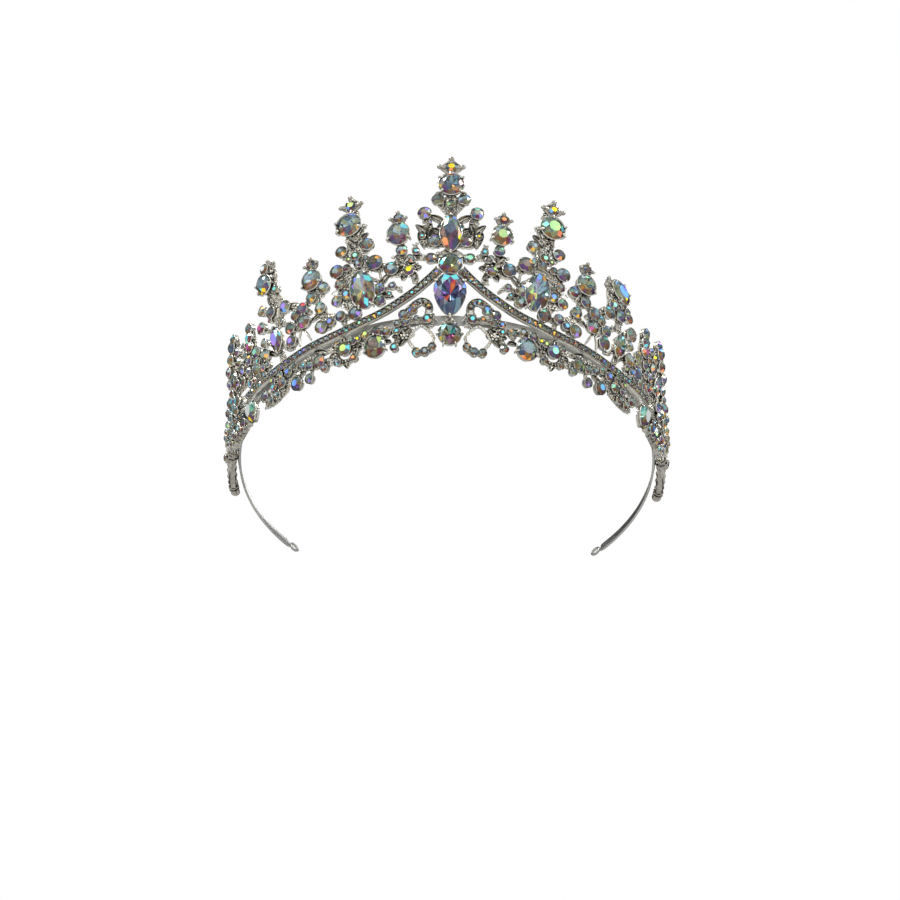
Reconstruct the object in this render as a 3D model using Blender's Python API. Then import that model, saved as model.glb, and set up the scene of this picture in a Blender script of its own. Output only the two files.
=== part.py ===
"""Bridal tiara: cast silver-tone crown panels and crystals on a flat headband.

Every ornament is laid out flat, in millimetres, on the crown's unrolled face:
u runs along the base arc (0 at the front, + to the wearer's left), v runs up
the face and w runs outward from its back. on_crown() rolls that face onto the
flared cone of the crown. The front looks along -Y, +Z is up, and the finished
object stands on z = 0 with its plan centred on the origin.
"""

import math

import bmesh
import bpy
from mathutils import Vector

# ---------------------------------------------------------------- dimensions
MM = 0.001
GAP = 0.3                        # clearance kept between soldered or set pieces

CROWN_RADIUS = 72.0              # base arc of the crown's face
FLARE = math.radians(14.0)       # outward lean of the face

CAST_THICKNESS = 1.5             # lattice wires and leaves
CUP_HEIGHT = 1.9                 # stone cups, measured from the casting's back
BEZEL_HEIGHT = 2.4               # bezels of the largest stones
STONE_HEIGHT = 0.42              # crystal height as a share of its shorter width

BAND_HEIGHT = 3.2                # flat strip of the headband
BAND_THICKNESS = 0.8
BAND_OFFSET = -2.0               # strip's mid surface, behind the castings
BAND_FRONT = 14.0                # strip's mid height at the front
BAND_FALL = 8.8                  # how far it falls per unit of (1 - cos angle)
BAND_END = 157.0                 # half length of the strip along the arc

CHANNEL_WIDTH = 2.6              # pave channel that arches over the fringe
CHANNEL_WALL = 0.4
CHANNEL_FLOOR = 1.2
CHANNEL_TOP = 2.1
CHIP_PITCH = 1.7                 # spacing of the pave chips
CHIP_WIDTH = 1.2

END_BAR_START = 102.0            # fluted end bar, along the arc
END_BAR_END = 119.5
BALL_RADIUS = 1.5

SIDES = {"right": 1, "left": -1}

SILVER = (0.62, 0.61, 0.58, 1.0)
BRIGHT_SILVER = (0.72, 0.71, 0.69, 1.0)
CRYSTAL = (0.34, 0.40, 0.42, 1.0)
SMALL_CRYSTAL = (0.42, 0.40, 0.44, 1.0)


# ------------------------------------------------------------------ geometry
def on_crown(u, v, w):
    """Point of the flat layout, rolled onto the flared crown, in metres."""
    angle = u / CROWN_RADIUS
    radius = CROWN_RADIUS + v * math.sin(FLARE) + w * math.cos(FLARE)
    height = v * math.cos(FLARE) - w * math.sin(FLARE)
    return Vector((radius * math.sin(angle), -radius * math.cos(angle), height)) * MM


def band_height(u):
    """Height of the headband's mid line on the crown face at arc length u."""
    return BAND_FRONT - BAND_FALL * (1.0 - math.cos(u / CROWN_RADIUS))


def curve_through(points, pieces):
    """Catmull-Rom curve through points, with pieces steps between neighbours."""
    ends = [points[0]] + list(points) + [points[-1]]
    curve = []
    for i in range(len(points) - 1):
        p0, p1, p2, p3 = (Vector(p) for p in ends[i:i + 4])
        for step in range(pieces):
            t = step / pieces
            a = 2.0 * p1
            b = (p2 - p0) * t
            c = (2.0 * p0 - 5.0 * p1 + 4.0 * p2 - p3) * t * t
            d = (3.0 * p1 - p0 - 3.0 * p2 + p3) * t * t * t
            curve.append((a + b + c + d) * 0.5)
    curve.append(Vector(points[-1]))
    return curve


def oval(u, v, half_width, half_height, lean=0.0, sides=8):
    """Closed outline of an ellipse leaning by lean degrees toward +u."""
    turn = math.radians(-lean)
    outline = []
    for i in range(sides):
        a = 2.0 * math.pi * (i + 0.5) / sides
        x = half_width * math.cos(a)
        y = half_height * math.sin(a)
        outline.append((u + x * math.cos(turn) - y * math.sin(turn),
                        v + x * math.sin(turn) + y * math.cos(turn)))
    return outline


def marquise(u, v, half_width, half_height, lean=0.0, sides=10):
    """Pointed oval: an ellipse narrowed toward its two ends."""
    turn = math.radians(-lean)
    outline = []
    for i in range(sides):
        a = 2.0 * math.pi * i / sides + math.pi / 2.0
        x = -half_width * math.sin(a - math.pi / 2.0) * abs(math.sin(a - math.pi / 2.0)) ** 0.35
        y = half_height * math.cos(a - math.pi / 2.0)
        outline.append((u + x * math.cos(turn) - y * math.sin(turn),
                        v + x * math.sin(turn) + y * math.cos(turn)))
    return outline


def pear(u, v, half_width, half_height, sides=12):
    """Drop outline with its point down."""
    outline = []
    for i in range(sides):
        a = 2.0 * math.pi * i / sides - math.pi / 2.0
        taper = 0.5 * (1.0 + math.sin(a))
        x = half_width * math.cos(a) * (0.62 + 0.42 * taper)
        outline.append((u + x, v + half_height * math.sin(a)))
    return outline


def leaf_outline(u, v, length, width, lean):
    """Pointed leaf from its stem at (u, v), pointing up when lean is 0."""
    turn = math.radians(lean)
    along = Vector((math.sin(turn), math.cos(turn)))
    across = Vector((math.cos(turn), -math.sin(turn)))
    shape = ((0.0, 0.0), (0.3, 0.48), (0.65, 0.42), (1.0, 0.0), (0.65, -0.42), (0.3, -0.48))
    return [Vector((u, v)) + along * (length * s) + across * (width * t) for s, t in shape]


class Layout:
    """Closed solids of one piece, drawn flat and mirrored for the left side."""

    def __init__(self, side=1):
        self.side = side
        self.solids = []

    def stack(self, levels):
        """Solid through outlines of equal point count, each at its own w."""
        rings = [[(self.side * p[0], p[1], w) for p in outline] for outline, w in levels]
        if self.side < 0:
            rings = [list(reversed(ring)) for ring in rings]
        self.solids.append(rings)

    def prism(self, outline, height, back=0.0, shrink=1.0):
        """Straight or tapering block over an outline."""
        centre = sum((Vector(p) for p in outline), Vector((0.0, 0.0))) / len(outline)
        top = [centre + (Vector(p) - centre) * shrink for p in outline]
        self.stack([(outline, back), (top, height)])

    def cup(self, u, v, radius, sides=6):
        """Setting of a small stone, tapering to the height of its crown."""
        self.prism(oval(u, v, radius, radius, 0.0, sides), CUP_HEIGHT + 0.3 * radius, 0.0, 0.72)

    def seat(self, outline, height=CUP_HEIGHT):
        """Flat-topped seat under a stone that is a piece of its own."""
        self.prism(outline, height)

    def leaf(self, u, v, length, width, lean):
        """Leaf with a raised middle, growing from (u, v)."""
        self.prism(leaf_outline(u, v, length, width, lean), CAST_THICKNESS + 0.2, 0.0, 0.7)

    def wire(self, points, width=0.9, thickness=CAST_THICKNESS, pieces=2):
        """Flat cast wire following a curve through points."""
        path = curve_through(points, pieces)
        left = []
        right = []
        for i, point in enumerate(path):
            ahead = path[min(i + 1, len(path) - 1)]
            behind = path[max(i - 1, 0)]
            along = (ahead - behind).normalized()
            across = Vector((-along.y, along.x)) * (width / 2.0)
            left.append(point + across)
            right.append(point - across)
        outline = right + list(reversed(left))
        self.prism(outline, thickness)

    def ring(self, outline, width, thickness=CAST_THICKNESS):
        """Flat ring inside an outline, made as one solid with a real hole."""
        centre = sum((Vector(p) for p in outline), Vector((0.0, 0.0))) / len(outline)
        reach = (Vector(outline[0]) - centre).length
        inner = [centre + (Vector(p) - centre) * (1.0 - width / reach) for p in outline]
        rings = [[(self.side * p[0], p[1], w) for p in shape]
                 for shape, w in ((outline, 0.0), (outline, thickness), (inner, thickness), (inner, 0.0))]
        if self.side < 0:
            rings = [list(reversed(ring)) for ring in rings]
        self.solids.append(("loop", rings))


def add_solid(bm, solid):
    """Skin one solid's rings: capped at both ends, or closed into a loop."""
    looped = isinstance(solid, tuple)
    rings = solid[1] if looped else solid
    loops = [[bm.verts.new(point) for point in ring] for ring in rings]
    count = len(loops[0])
    pairs = list(zip(loops, loops[1:] + loops[:1])) if looped else list(zip(loops, loops[1:]))
    for lower, upper in pairs:
        for i in range(count):
            j = (i + 1) % count
            bm.faces.new((lower[i], lower[j], upper[j], upper[i]))
    if not looped:
        bm.faces.new(list(reversed(loops[0])))
        bm.faces.new(loops[-1])


def flat_object(name, solids):
    """Object holding solids in the flat layout."""
    bm = bmesh.new()
    for solid in solids:
        add_solid(bm, solid)
    bmesh.ops.recalc_face_normals(bm, faces=bm.faces)
    mesh = bpy.data.meshes.new(name)
    bm.to_mesh(mesh)
    bm.free()
    obj = bpy.data.objects.new(name, mesh)
    bpy.context.scene.collection.objects.link(obj)
    return obj


def material(name, colour, roughness, metallic):
    """Principled material shared by every piece of one kind."""
    mat = bpy.data.materials.get(name) or bpy.data.materials.new(name)
    mat.use_nodes = True
    shader = mat.node_tree.nodes["Principled BSDF"]
    shader.inputs["Base Color"].default_value = colour
    shader.inputs["Roughness"].default_value = roughness
    shader.inputs["Metallic"].default_value = metallic
    return mat


def cast_metal():
    return material("cast_silver", SILVER, 0.28, 1.0)


def strip_metal():
    return material("strip_silver", BRIGHT_SILVER, 0.34, 1.0)


def crystal():
    return material("ab_crystal", CRYSTAL, 0.08, 0.0)


def chip_crystal():
    return material("chip_crystal", SMALL_CRYSTAL, 0.12, 0.0)


def finish(obj, mat, bend=on_crown, sharp=32.0):
    """Roll a flat mesh onto the crown, then give it its material and shading."""
    mesh = obj.data
    bm = bmesh.new()
    bm.from_mesh(mesh)
    bmesh.ops.dissolve_degenerate(bm, edges=bm.edges, dist=0.001)
    bmesh.ops.triangulate(bm, faces=bm.faces)
    for vert in bm.verts:
        vert.co = bend(*vert.co)
    bm.to_mesh(mesh)
    bm.free()
    mesh.materials.clear()
    mesh.materials.append(mat)
    mesh.shade_smooth()
    mesh.set_sharp_from_angle(angle=math.radians(sharp))
    return obj


def merge_flat_faces(mesh):
    """Drop the seams the union leaves inside flat faces."""
    bm = bmesh.new()
    bm.from_mesh(mesh)
    bmesh.ops.dissolve_limit(bm, angle_limit=math.radians(0.5), verts=bm.verts, edges=bm.edges)
    bm.to_mesh(mesh)
    bm.free()


def casting(name, layout):
    """One cast piece: the layout's solids joined by a Boolean union, then bent."""
    body = flat_object(name, layout.solids[:1])
    if len(layout.solids) > 1:
        rest = flat_object(name + "_rest", layout.solids[1:])
        union = body.modifiers.new("Join", "BOOLEAN")
        union.operation = "UNION"
        union.solver = "EXACT"
        union.use_self = True
        union.object = rest
        depsgraph = bpy.context.evaluated_depsgraph_get()
        joined = bpy.data.meshes.new_from_object(body.evaluated_get(depsgraph))
        body.modifiers.clear()
        body.data = joined
        bpy.data.objects.remove(rest)
    body.data.name = name
    merge_flat_faces(body.data)
    return finish(body, cast_metal())


def stone(name, outline, side=1, seat=CUP_HEIGHT):
    """Faceted crystal: culet side, girdle, crown and table over one outline."""
    centre = sum((Vector(p) for p in outline), Vector((0.0, 0.0))) / len(outline)
    spans = [max(p[k] for p in outline) - min(p[k] for p in outline) for k in (0, 1)]
    height = STONE_HEIGHT * min(spans)
    back = seat + GAP
    levels = ((0.55, 0.0), (1.0, 0.40), (1.0, 0.50), (0.55, 1.0))
    layout = Layout(side)
    layout.stack([([centre + (Vector(p) - centre) * scale for p in outline], back + height * share)
                  for scale, share in levels])
    return finish(flat_object(name, layout.solids), crystal(), sharp=12.0)


# ------------------------------------------------------------------ headband
def headband():
    """Flat sprung strip, open at the back, with one flat facet at the front."""
    steps = 49
    half_t = BAND_THICKNESS / 2.0
    half_h = BAND_HEIGHT / 2.0
    section = ((-half_t, -half_h), (half_t, -half_h), (half_t, half_h), (-half_t, half_h))
    rings = []
    for i in range(steps + 1):
        u = -BAND_END + 2.0 * BAND_END * i / steps
        rings.append([(u, band_height(u) + h, BAND_OFFSET + t) for t, h in section])
    return finish(flat_object("headband", [rings]), strip_metal())


def end_loop(label, side):
    """Wire loop soldered past the strip's end, where a hairpin goes through."""
    u0 = BAND_END + GAP + 2.6
    v0 = band_height(BAND_END)
    around = 14
    wire = 0.55
    rings = []
    for i in range(around):
        a = 2.0 * math.pi * i / around
        ring = []
        for k in range(6):
            b = 2.0 * math.pi * k / 6
            reach = 2.0 + wire * math.cos(b)
            height = v0 + 0.62 * reach * math.sin(a)
            ring.append((side * (u0 + reach * math.cos(a)), height, BAND_OFFSET + wire * math.sin(b)))
        rings.append(ring)
    return finish(flat_object("end_loop_" + label, [("loop", rings)]), strip_metal())


# -------------------------------------------------------------- pave channel
CHANNEL_PATH = ((4.3, 28.4), (6.9, 25.6), (11.4, 21.6), (19.3, 16.8), (27.8, 14.2), (34.4, 12.9),
                (44.3, 11.8), (52.2, 10.8), (59.8, 10.2), (68.2, 10.0), (76.0, 9.9))


def channel_frames(side, pieces):
    """Points of the arch with their across direction, from peak to end."""
    path = curve_through(CHANNEL_PATH, pieces)
    frames = []
    for i, point in enumerate(path):
        along = (path[min(i + 1, len(path) - 1)] - path[max(i - 1, 0)]).normalized()
        frames.append((point, Vector((-along.y, along.x))))
    return frames


def arch_channel(label, side):
    """U-shaped channel that carries the row of pave chips."""
    half = CHANNEL_WIDTH / 2.0
    inner = half - CHANNEL_WALL
    section = ((-half, 0.0), (half, 0.0), (half, CHANNEL_TOP), (inner, CHANNEL_TOP),
               (inner, CHANNEL_FLOOR), (-inner, CHANNEL_FLOOR), (-inner, CHANNEL_TOP), (-half, CHANNEL_TOP))
    rings = []
    for point, across in channel_frames(side, 3):
        ring = []
        for offset, w in section:
            p = point + across * offset
            ring.append((side * p.x, p.y, w))
        rings.append(ring)
    return finish(flat_object("arch_channel_" + label, [rings]), cast_metal())


def pave_row(label, side):
    """Row of small chips as one scalloped strip lying in the channel."""
    path = curve_through(CHANNEL_PATH, 12)
    length = sum((b - a).length for a, b in zip(path, path[1:]))
    chips = int(length / CHIP_PITCH)
    shape = ((0.03, 0.55, 0.25), (0.50, 1.0, 0.80))
    stations = [((chip + share) / chips, wide, tall) for chip in range(chips) for share, wide, tall in shape]
    stations.append((0.998, 0.55, 0.25))
    back = CHANNEL_FLOOR + GAP
    rings = []
    for share, wide, tall in stations:
        reach = share * length
        for a, b in zip(path, path[1:]):
            step = (b - a).length
            if reach <= step:
                break
            reach -= step
        point = a + (b - a) * min(reach / step, 1.0)
        along = (b - a).normalized()
        across = Vector((-along.y, along.x)) * (CHIP_WIDTH / 2.0 * wide)
        section = ((-1.0, back), (1.0, back), (0.6, back + 0.3 + tall), (-0.6, back + 0.3 + tall))
        rings.append([(side * (point.x + across.x * k), point.y + across.y * k, w) for k, w in section])
    return finish(flat_object("pave_row_" + label, [rings]), chip_crystal(), sharp=20.0)


# -------------------------------------------------------------- centre spire
def centre_spire():
    """Tall centre casting: top cups, marquise with leaf sprays, round, pear and drop."""
    cast = Layout()
    cast.prism(((-1.6, 48.0), (1.6, 48.0), (2.2, 53.0), (2.6, 57.5), (-2.6, 57.5), (-2.2, 53.0)), 1.7)
    cast.seat(oval(0.0, 67.0, 1.9, 1.9), CUP_HEIGHT)
    cast.seat(oval(0.0, 60.4, 3.5, 3.5, 0.0, 12), BEZEL_HEIGHT)
    cast.prism(((-1.6, 63.0), (1.6, 63.0), (1.6, 66.0), (-1.6, 66.0)), 1.4)
    cast.seat(marquise(0.0, 43.3, 2.9, 7.0), CUP_HEIGHT)
    cast.seat(oval(0.0, 31.9, 3.5, 3.5, 0.0, 12), CUP_HEIGHT)
    cast.seat(pear(0.0, 20.6, 5.2, 8.0, 14), BEZEL_HEIGHT)
    cast.prism(((-1.2, 34.5), (1.2, 34.5), (1.2, 37.5), (-1.2, 37.5)), 1.45)
    cast.prism(((-1.0, 27.4), (1.0, 27.4), (1.0, 29.5), (-1.0, 29.5)), 1.3)
    cast.seat(oval(0.0, 7.4, 3.4, 3.4, 0.0, 12), CUP_HEIGHT)
    cast.prism(((-0.9, 9.8), (0.9, 9.8), (0.9, 13.6), (-0.9, 13.6)), 1.4)
    for half in (1, -1):
        cast.side = half
        cast.cup(3.5, 55.0, 1.8)
        cast.wire(((1.4, 40.0), (5.6, 44.6), (6.9, 49.0)), 0.9)
        cast.cup(7.0, 50.2, 2.0)
        cast.leaf(1.6, 46.4, 4.8, 2.4, 52.0)
        cast.leaf(1.4, 42.2, 4.6, 2.4, 60.0)
        cast.wire(((4.6, 40.2), (6.4, 40.6), (8.0, 41.6)), 1.3)
        cast.leaf(5.6, 40.8, 7.0, 2.6, 34.0)
        cast.leaf(8.2, 43.6, 6.4, 2.8, 188.0)
        cast.cup(4.2, 40.0, 1.9)
        cast.wire(((0.6, 37.8), (2.6, 35.6), (3.6, 34.0)), 0.8)
        cast.wire(((2.0, 33.4), (6.4, 34.6), (8.9, 37.4)), 1.1)
        cast.cup(5.4, 33.9, 1.7)
    cast.side = 1
    return casting("centre_spire", cast)


# -------------------------------------------------------------- side spires
def spire_a(label, side):
    """Slim spire on a five-lobed flower, beside the centre."""
    cast = Layout(side)
    cast.cup(13.4, 37.0, 1.7)
    cast.seat(oval(14.1, 42.8, 3.0, 3.0, 0.0, 10))
    cast.prism(((13.0, 38.0), (14.6, 38.0), (14.8, 41.0), (13.2, 41.0)), 1.3)
    cast.seat(oval(14.2, 48.6, 1.5, 1.5))
    cast.prism(((13.5, 45.0), (14.9, 45.0), (14.9, 47.8), (13.5, 47.8)), 1.3)
    cast.prism(((12.3, 31.5), (14.0, 31.5), (14.4, 36.0), (12.6, 36.0)), 1.4)
    cast.cup(11.5, 30.2, 2.1)
    for i in range(5):
        a = math.radians(90.0 + 72.0 * i)
        petal = oval(11.5 + 2.1 * math.cos(a), 30.2 + 2.1 * math.sin(a), 1.25, 1.25, 0.0, 6)
        cast.prism(petal, CAST_THICKNESS, 0.0, 0.8)
    cast.leaf(11.0, 32.0, 4.4, 2.2, -18.0)
    cast.cup(16.5, 31.1, 2.1)
    cast.leaf(12.8, 33.2, 3.6, 1.8, 40.0)
    cast.wire(((10.8, 30.2), (9.8, 28.0), (10.0, 25.8)), 1.1)
    cast.wire(((13.0, 30.6), (14.8, 30.4), (16.6, 30.8)), 1.2)
    cast.wire(((17.0, 30.4), (18.0, 29.2), (18.9, 28.6)), 0.7)
    return casting("spire_a_" + label, cast)


def spire_b(label, side):
    """Major spire: round, oval marquise and a cluster of side cups."""
    cast = Layout(side)
    cast.seat(oval(27.1, 56.6, 1.7, 1.7))
    cast.prism(((26.5, 53.0), (28.2, 53.0), (28.0, 55.6), (26.4, 55.6)), 1.4)
    cast.seat(oval(28.0, 50.0, 3.5, 3.5, 0.0, 12), BEZEL_HEIGHT)
    cast.prism(((25.6, 34.0), (28.4, 34.0), (29.2, 47.6), (26.0, 47.6)), 1.5)
    cast.cup(26.6, 38.4, 1.5)
    cast.cup(26.0, 35.6, 1.3)
    cast.wire(((27.2, 37.8), (29.4, 39.2), (30.6, 41.0)), 0.9)
    cast.cup(30.7, 41.1, 1.8)
    cast.wire(((26.4, 38.6), (24.6, 39.8), (23.1, 41.3)), 0.9)
    cast.cup(23.1, 41.4, 1.9)
    cast.leaf(26.4, 43.2, 5.0, 2.0, -42.0)
    cast.wire(((26.0, 35.2), (23.6, 34.8), (21.2, 34.2)), 1.0)
    cast.cup(21.1, 34.2, 2.3)
    cast.wire(((27.6, 35.4), (30.0, 35.0), (32.2, 34.4)), 1.0)
    cast.cup(32.4, 34.3, 2.2)
    cast.cup(29.4, 34.4, 1.3)
    cast.wire(((21.0, 33.0), (20.4, 30.6), (20.2, 28.2)), 0.7)
    cast.wire(((24.2, 30.6), (22.4, 29.2), (20.3, 28.2)), 0.7)
    cast.seat(oval(25.0, 25.6, 3.7, 7.0, 7.0, 12), BEZEL_HEIGHT)
    cast.prism(((25.0, 31.0), (27.4, 31.0), (27.6, 35.0), (25.2, 35.0)), 1.45)
    cast.cup(20.2, 25.0, 1.8)
    cast.cup(20.2, 20.9, 1.8)
    cast.wire(((20.2, 28.4), (20.2, 25.0), (20.2, 21.0)), 1.0)
    cast.wire(((20.0, 23.6), (21.4, 23.4), (23.4, 23.0)), 1.6)
    cast.leaf(20.4, 24.2, 6.4, 2.2, -60.0)
    cast.leaf(20.2, 23.8, 5.4, 2.0, -120.0)
    cast.cup(31.9, 29.6, 1.5)
    cast.cup(33.2, 24.4, 1.5)
    cast.wire(((27.8, 33.4), (31.6, 31.4), (32.4, 27.4), (31.6, 23.6), (28.2, 20.4)), 1.1)
    cast.cup(29.6, 25.2, 1.7)
    cast.cup(27.7, 18.5, 2.1)
    cast.wire(((26.2, 20.6), (27.4, 19.4), (28.0, 17.4)), 1.3)
    cast.wire(((28.6, 18.8), (31.4, 18.6), (33.6, 19.4)), 1.0)
    cast.cup(32.4, 18.6, 1.5)
    return casting("spire_b_" + label, cast)


def spire_c(label, side):
    """Shorter spire between the two major ones."""
    cast = Layout(side)
    cast.seat(oval(39.9, 39.3, 1.5, 1.5))
    cast.prism(((39.2, 36.0), (40.8, 36.0), (40.6, 38.6), (39.2, 38.6)), 1.3)
    cast.seat(oval(40.1, 33.8, 2.8, 2.8, 0.0, 10))
    cast.prism(((39.0, 26.4), (41.2, 26.4), (41.4, 32.0), (39.4, 32.0)), 1.4)
    cast.cup(36.6, 29.2, 1.8)
    cast.wire(((37.0, 29.0), (38.6, 28.2), (40.0, 28.4)), 1.0)
    cast.cup(40.6, 28.4, 1.6)
    cast.cup(44.0, 25.8, 2.0)
    cast.wire(((40.4, 28.0), (42.2, 26.8), (44.0, 25.6)), 1.3)
    cast.cup(38.0, 22.5, 1.8)
    cast.wire(((39.8, 27.4), (38.8, 25.0), (38.0, 22.8)), 0.9)
    cast.wire(((38.0, 22.0), (37.0, 19.6), (36.6, 17.4)), 0.9)
    cast.cup(38.2, 16.4, 1.9)
    cast.cup(35.3, 17.0, 1.4)
    cast.cup(44.0, 21.0, 2.0)
    cast.wire(((44.2, 25.4), (45.4, 22.6), (45.2, 18.6)), 1.2)
    cast.wire(((45.0, 19.0), (43.8, 16.8), (42.6, 14.6)), 0.9)
    cast.wire(((44.6, 18.6), (46.2, 16.4), (46.6, 14.4)), 0.9)
    cast.cup(46.9, 24.3, 1.7)
    return casting("spire_c_" + label, cast)


def spire_d(label, side):
    """Second major spire: oval, marquise and paired cups."""
    cast = Layout(side)
    cast.seat(oval(54.4, 46.2, 1.6, 1.9, 10.0))
    cast.prism(((54.2, 42.6), (55.8, 42.6), (55.4, 45.4), (54.0, 45.4)), 1.4)
    cast.seat(oval(55.6, 40.6, 2.9, 3.9, 6.0, 10))
    cast.cup(51.9, 36.3, 1.3)
    cast.prism(((53.6, 25.6), (55.8, 25.6), (56.6, 38.0), (53.6, 38.0)), 1.45)
    cast.wire(((54.2, 34.6), (53.2, 35.2), (52.2, 36.0)), 0.9)
    cast.cup(50.4, 30.0, 2.1)
    cast.wire(((54.6, 29.0), (52.6, 29.0), (50.6, 29.8)), 1.2)
    cast.cup(58.8, 32.6, 1.7)
    cast.wire(((55.0, 29.8), (57.0, 30.8), (58.6, 32.2)), 0.9)
    cast.cup(55.0, 28.2, 1.7)
    cast.cup(59.6, 26.6, 1.9)
    cast.wire(((55.2, 25.0), (57.6, 25.2), (59.4, 26.2)), 0.9)
    cast.seat(marquise(55.4, 19.8, 2.6, 5.2, 4.0))
    cast.wire(((54.4, 26.4), (55.0, 24.6), (55.2, 22.6)), 1.3)
    cast.cup(49.2, 20.6, 1.9)
    cast.cup(49.6, 16.6, 1.9)
    cast.wire(((54.2, 26.6), (52.0, 25.0), (50.2, 22.4), (49.4, 18.0)), 0.8)
    cast.wire(((54.0, 17.6), (52.0, 16.4), (50.4, 16.6)), 0.8)
    cast.wire(((55.8, 16.2), (55.4, 14.0), (54.6, 12.6)), 0.9)
    cast.wire(((57.2, 20.4), (58.8, 21.0), (60.6, 21.8)), 0.8)
    cast.cup(60.4, 21.8, 1.3)
    return casting("spire_d_" + label, cast)


def spire_e(label, side):
    """Side cluster with two short spires and close-set cups."""
    cast = Layout(side)
    cast.seat(oval(67.2, 32.0, 1.4, 1.4))
    cast.cup(67.8, 28.2, 2.0)
    cast.cup(68.2, 24.8, 2.0)
    cast.prism(((66.8, 18.0), (69.6, 18.0), (69.2, 31.6), (66.8, 31.6)), 1.4)
    cast.cup(65.0, 20.8, 2.0)
    cast.cup(61.0, 17.4, 2.2)
    cast.cup(69.6, 20.6, 1.8)
    cast.cup(66.0, 15.0, 2.1)
    cast.cup(63.0, 13.8, 1.5)
    cast.wire(((60.8, 17.2), (64.2, 17.6), (68.0, 18.4), (73.0, 17.8), (78.0, 19.0)), 2.6)
    cast.wire(((63.0, 13.6), (67.6, 13.6), (72.0, 14.2)), 2.4)
    cast.wire(((66.6, 13.2), (70.0, 15.6), (73.0, 18.0)), 2.2)
    cast.seat(oval(75.2, 33.2, 1.3, 1.3))
    cast.cup(77.2, 30.6, 2.3)
    cast.cup(74.6, 26.6, 1.7)
    cast.cup(78.6, 25.2, 1.9)
    cast.prism(((74.6, 18.0), (78.4, 18.0), (77.4, 32.0), (74.8, 32.0)), 1.4)
    cast.cup(74.4, 22.4, 1.9)
    cast.cup(73.2, 18.2, 1.7)
    cast.seat(marquise(78.8, 18.4, 2.1, 4.3, 4.0))
    cast.cup(73.4, 14.2, 1.8)
    cast.cup(82.0, 24.0, 1.6)
    cast.cup(83.0, 20.0, 1.7)
    cast.wire(((79.0, 24.4), (82.0, 23.6), (83.2, 20.0), (82.6, 16.4)), 1.4)
    cast.wire(((78.8, 16.0), (81.0, 15.4), (83.0, 16.4)), 1.6)
    return casting("spire_e_" + label, cast)


# ------------------------------------------------------------ fringe castings
def scroll(label, side):
    """Hooked pave scroll between the pear and the arch."""
    cast = Layout(side)
    cast.wire(((13.2, 14.8), (10.4, 17.9), (8.2, 19.3), (6.5, 18.4), (5.9, 16.6), (6.2, 14.2)), 2.2)
    cast.cup(10.3, 17.2, 1.6)
    cast.cup(13.3, 15.0, 1.6)
    cast.cup(6.5, 13.2, 1.4)
    cast.wire(((13.0, 14.8), (12.8, 13.6), (12.8, 12.6)), 1.0)
    cast.cup(12.8, 12.4, 1.2)
    return casting("scroll_" + label, cast)


def open_ring(label, side):
    """Open diamond of twisted wire beside the pendant, with a knot outside it."""
    cast = Layout(side)
    cast.ring(oval(8.3, 5.6, 4.0, 4.9, 0.0, 12), 0.9)
    cast.cup(9.8, 0.6, 1.25)
    cast.cup(7.4, 0.5, 1.25)
    cast.cup(5.0, 2.6, 1.1)
    cast.wire(((11.6, 8.6), (14.0, 8.4), (16.2, 6.4)), 2.2)
    cast.leaf(13.4, 8.0, 3.2, 2.0, -38.0)
    cast.leaf(12.6, 7.4, 4.2, 2.2, 140.0)
    cast.cup(16.2, 4.2, 1.3)
    cast.wire(((15.8, 6.6), (16.2, 5.4), (16.2, 4.2)), 1.1)
    return casting("open_ring_" + label, cast)


def fringe(label, side):
    """Lower garland: round drop, rosette and small hanging cups."""
    cast = Layout(side)
    cast.wire(((18.3, 9.6), (20.0, 10.4), (22.4, 10.6), (25.4, 9.6), (28.0, 9.0)), 1.4)
    for u, v in ((18.6, 9.8), (21.6, 10.7), (24.8, 9.9)):
        cast.cup(u, v, 1.4)
    cast.seat(oval(22.3, 5.4, 3.2, 3.2, 0.0, 10))
    cast.wire(((22.3, 7.8), (22.4, 9.2), (22.4, 10.6)), 1.2)
    cast.cup(31.8, 7.4, 2.1)
    for i in range(8):
        a = math.radians(45.0 * i)
        cast.cup(31.8 + 3.9 * math.cos(a), 6.2 + 3.9 * math.sin(a), 1.3)
    cast.ring(oval(31.8, 6.2, 4.6, 4.6, 0.0, 10), 2.6)
    cast.wire(((28.4, 8.6), (30.0, 8.4), (31.8, 7.4)), 1.2)
    cast.wire(((35.2, 5.8), (39.4, 4.6), (44.2, 5.4), (50.6, 6.0)), 1.4)
    cast.cup(39.6, 5.2, 1.7)
    cast.cup(39.4, 2.6, 1.3)
    cast.cup(43.6, 5.4, 1.3)
    cast.cup(46.2, 6.2, 1.3)
    cast.wire(((43.8, 4.8), (44.0, 2.8), (43.9, 1.0)), 0.8)
    cast.cup(43.9, 1.0, 1.2)
    cast.cup(51.4, 6.2, 1.6)
    cast.cup(49.4, 1.6, 2.0)
    cast.wire(((50.8, 6.0), (49.8, 4.0), (49.4, 2.0)), 1.2)
    cast.wire(((51.0, 5.8), (55.0, 5.4), (60.0, 4.6), (64.8, 4.2)), 1.6)
    cast.cup(56.0, 4.9, 1.8)
    cast.cup(58.8, 1.6, 1.6)
    cast.cup(62.2, 1.2, 1.6)
    cast.wire(((55.6, 3.6), (58.6, 1.4), (62.4, 1.2), (65.0, 3.2)), 1.2)
    cast.cup(64.8, 4.4, 1.9)
    return casting("fringe_" + label, cast)


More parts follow.
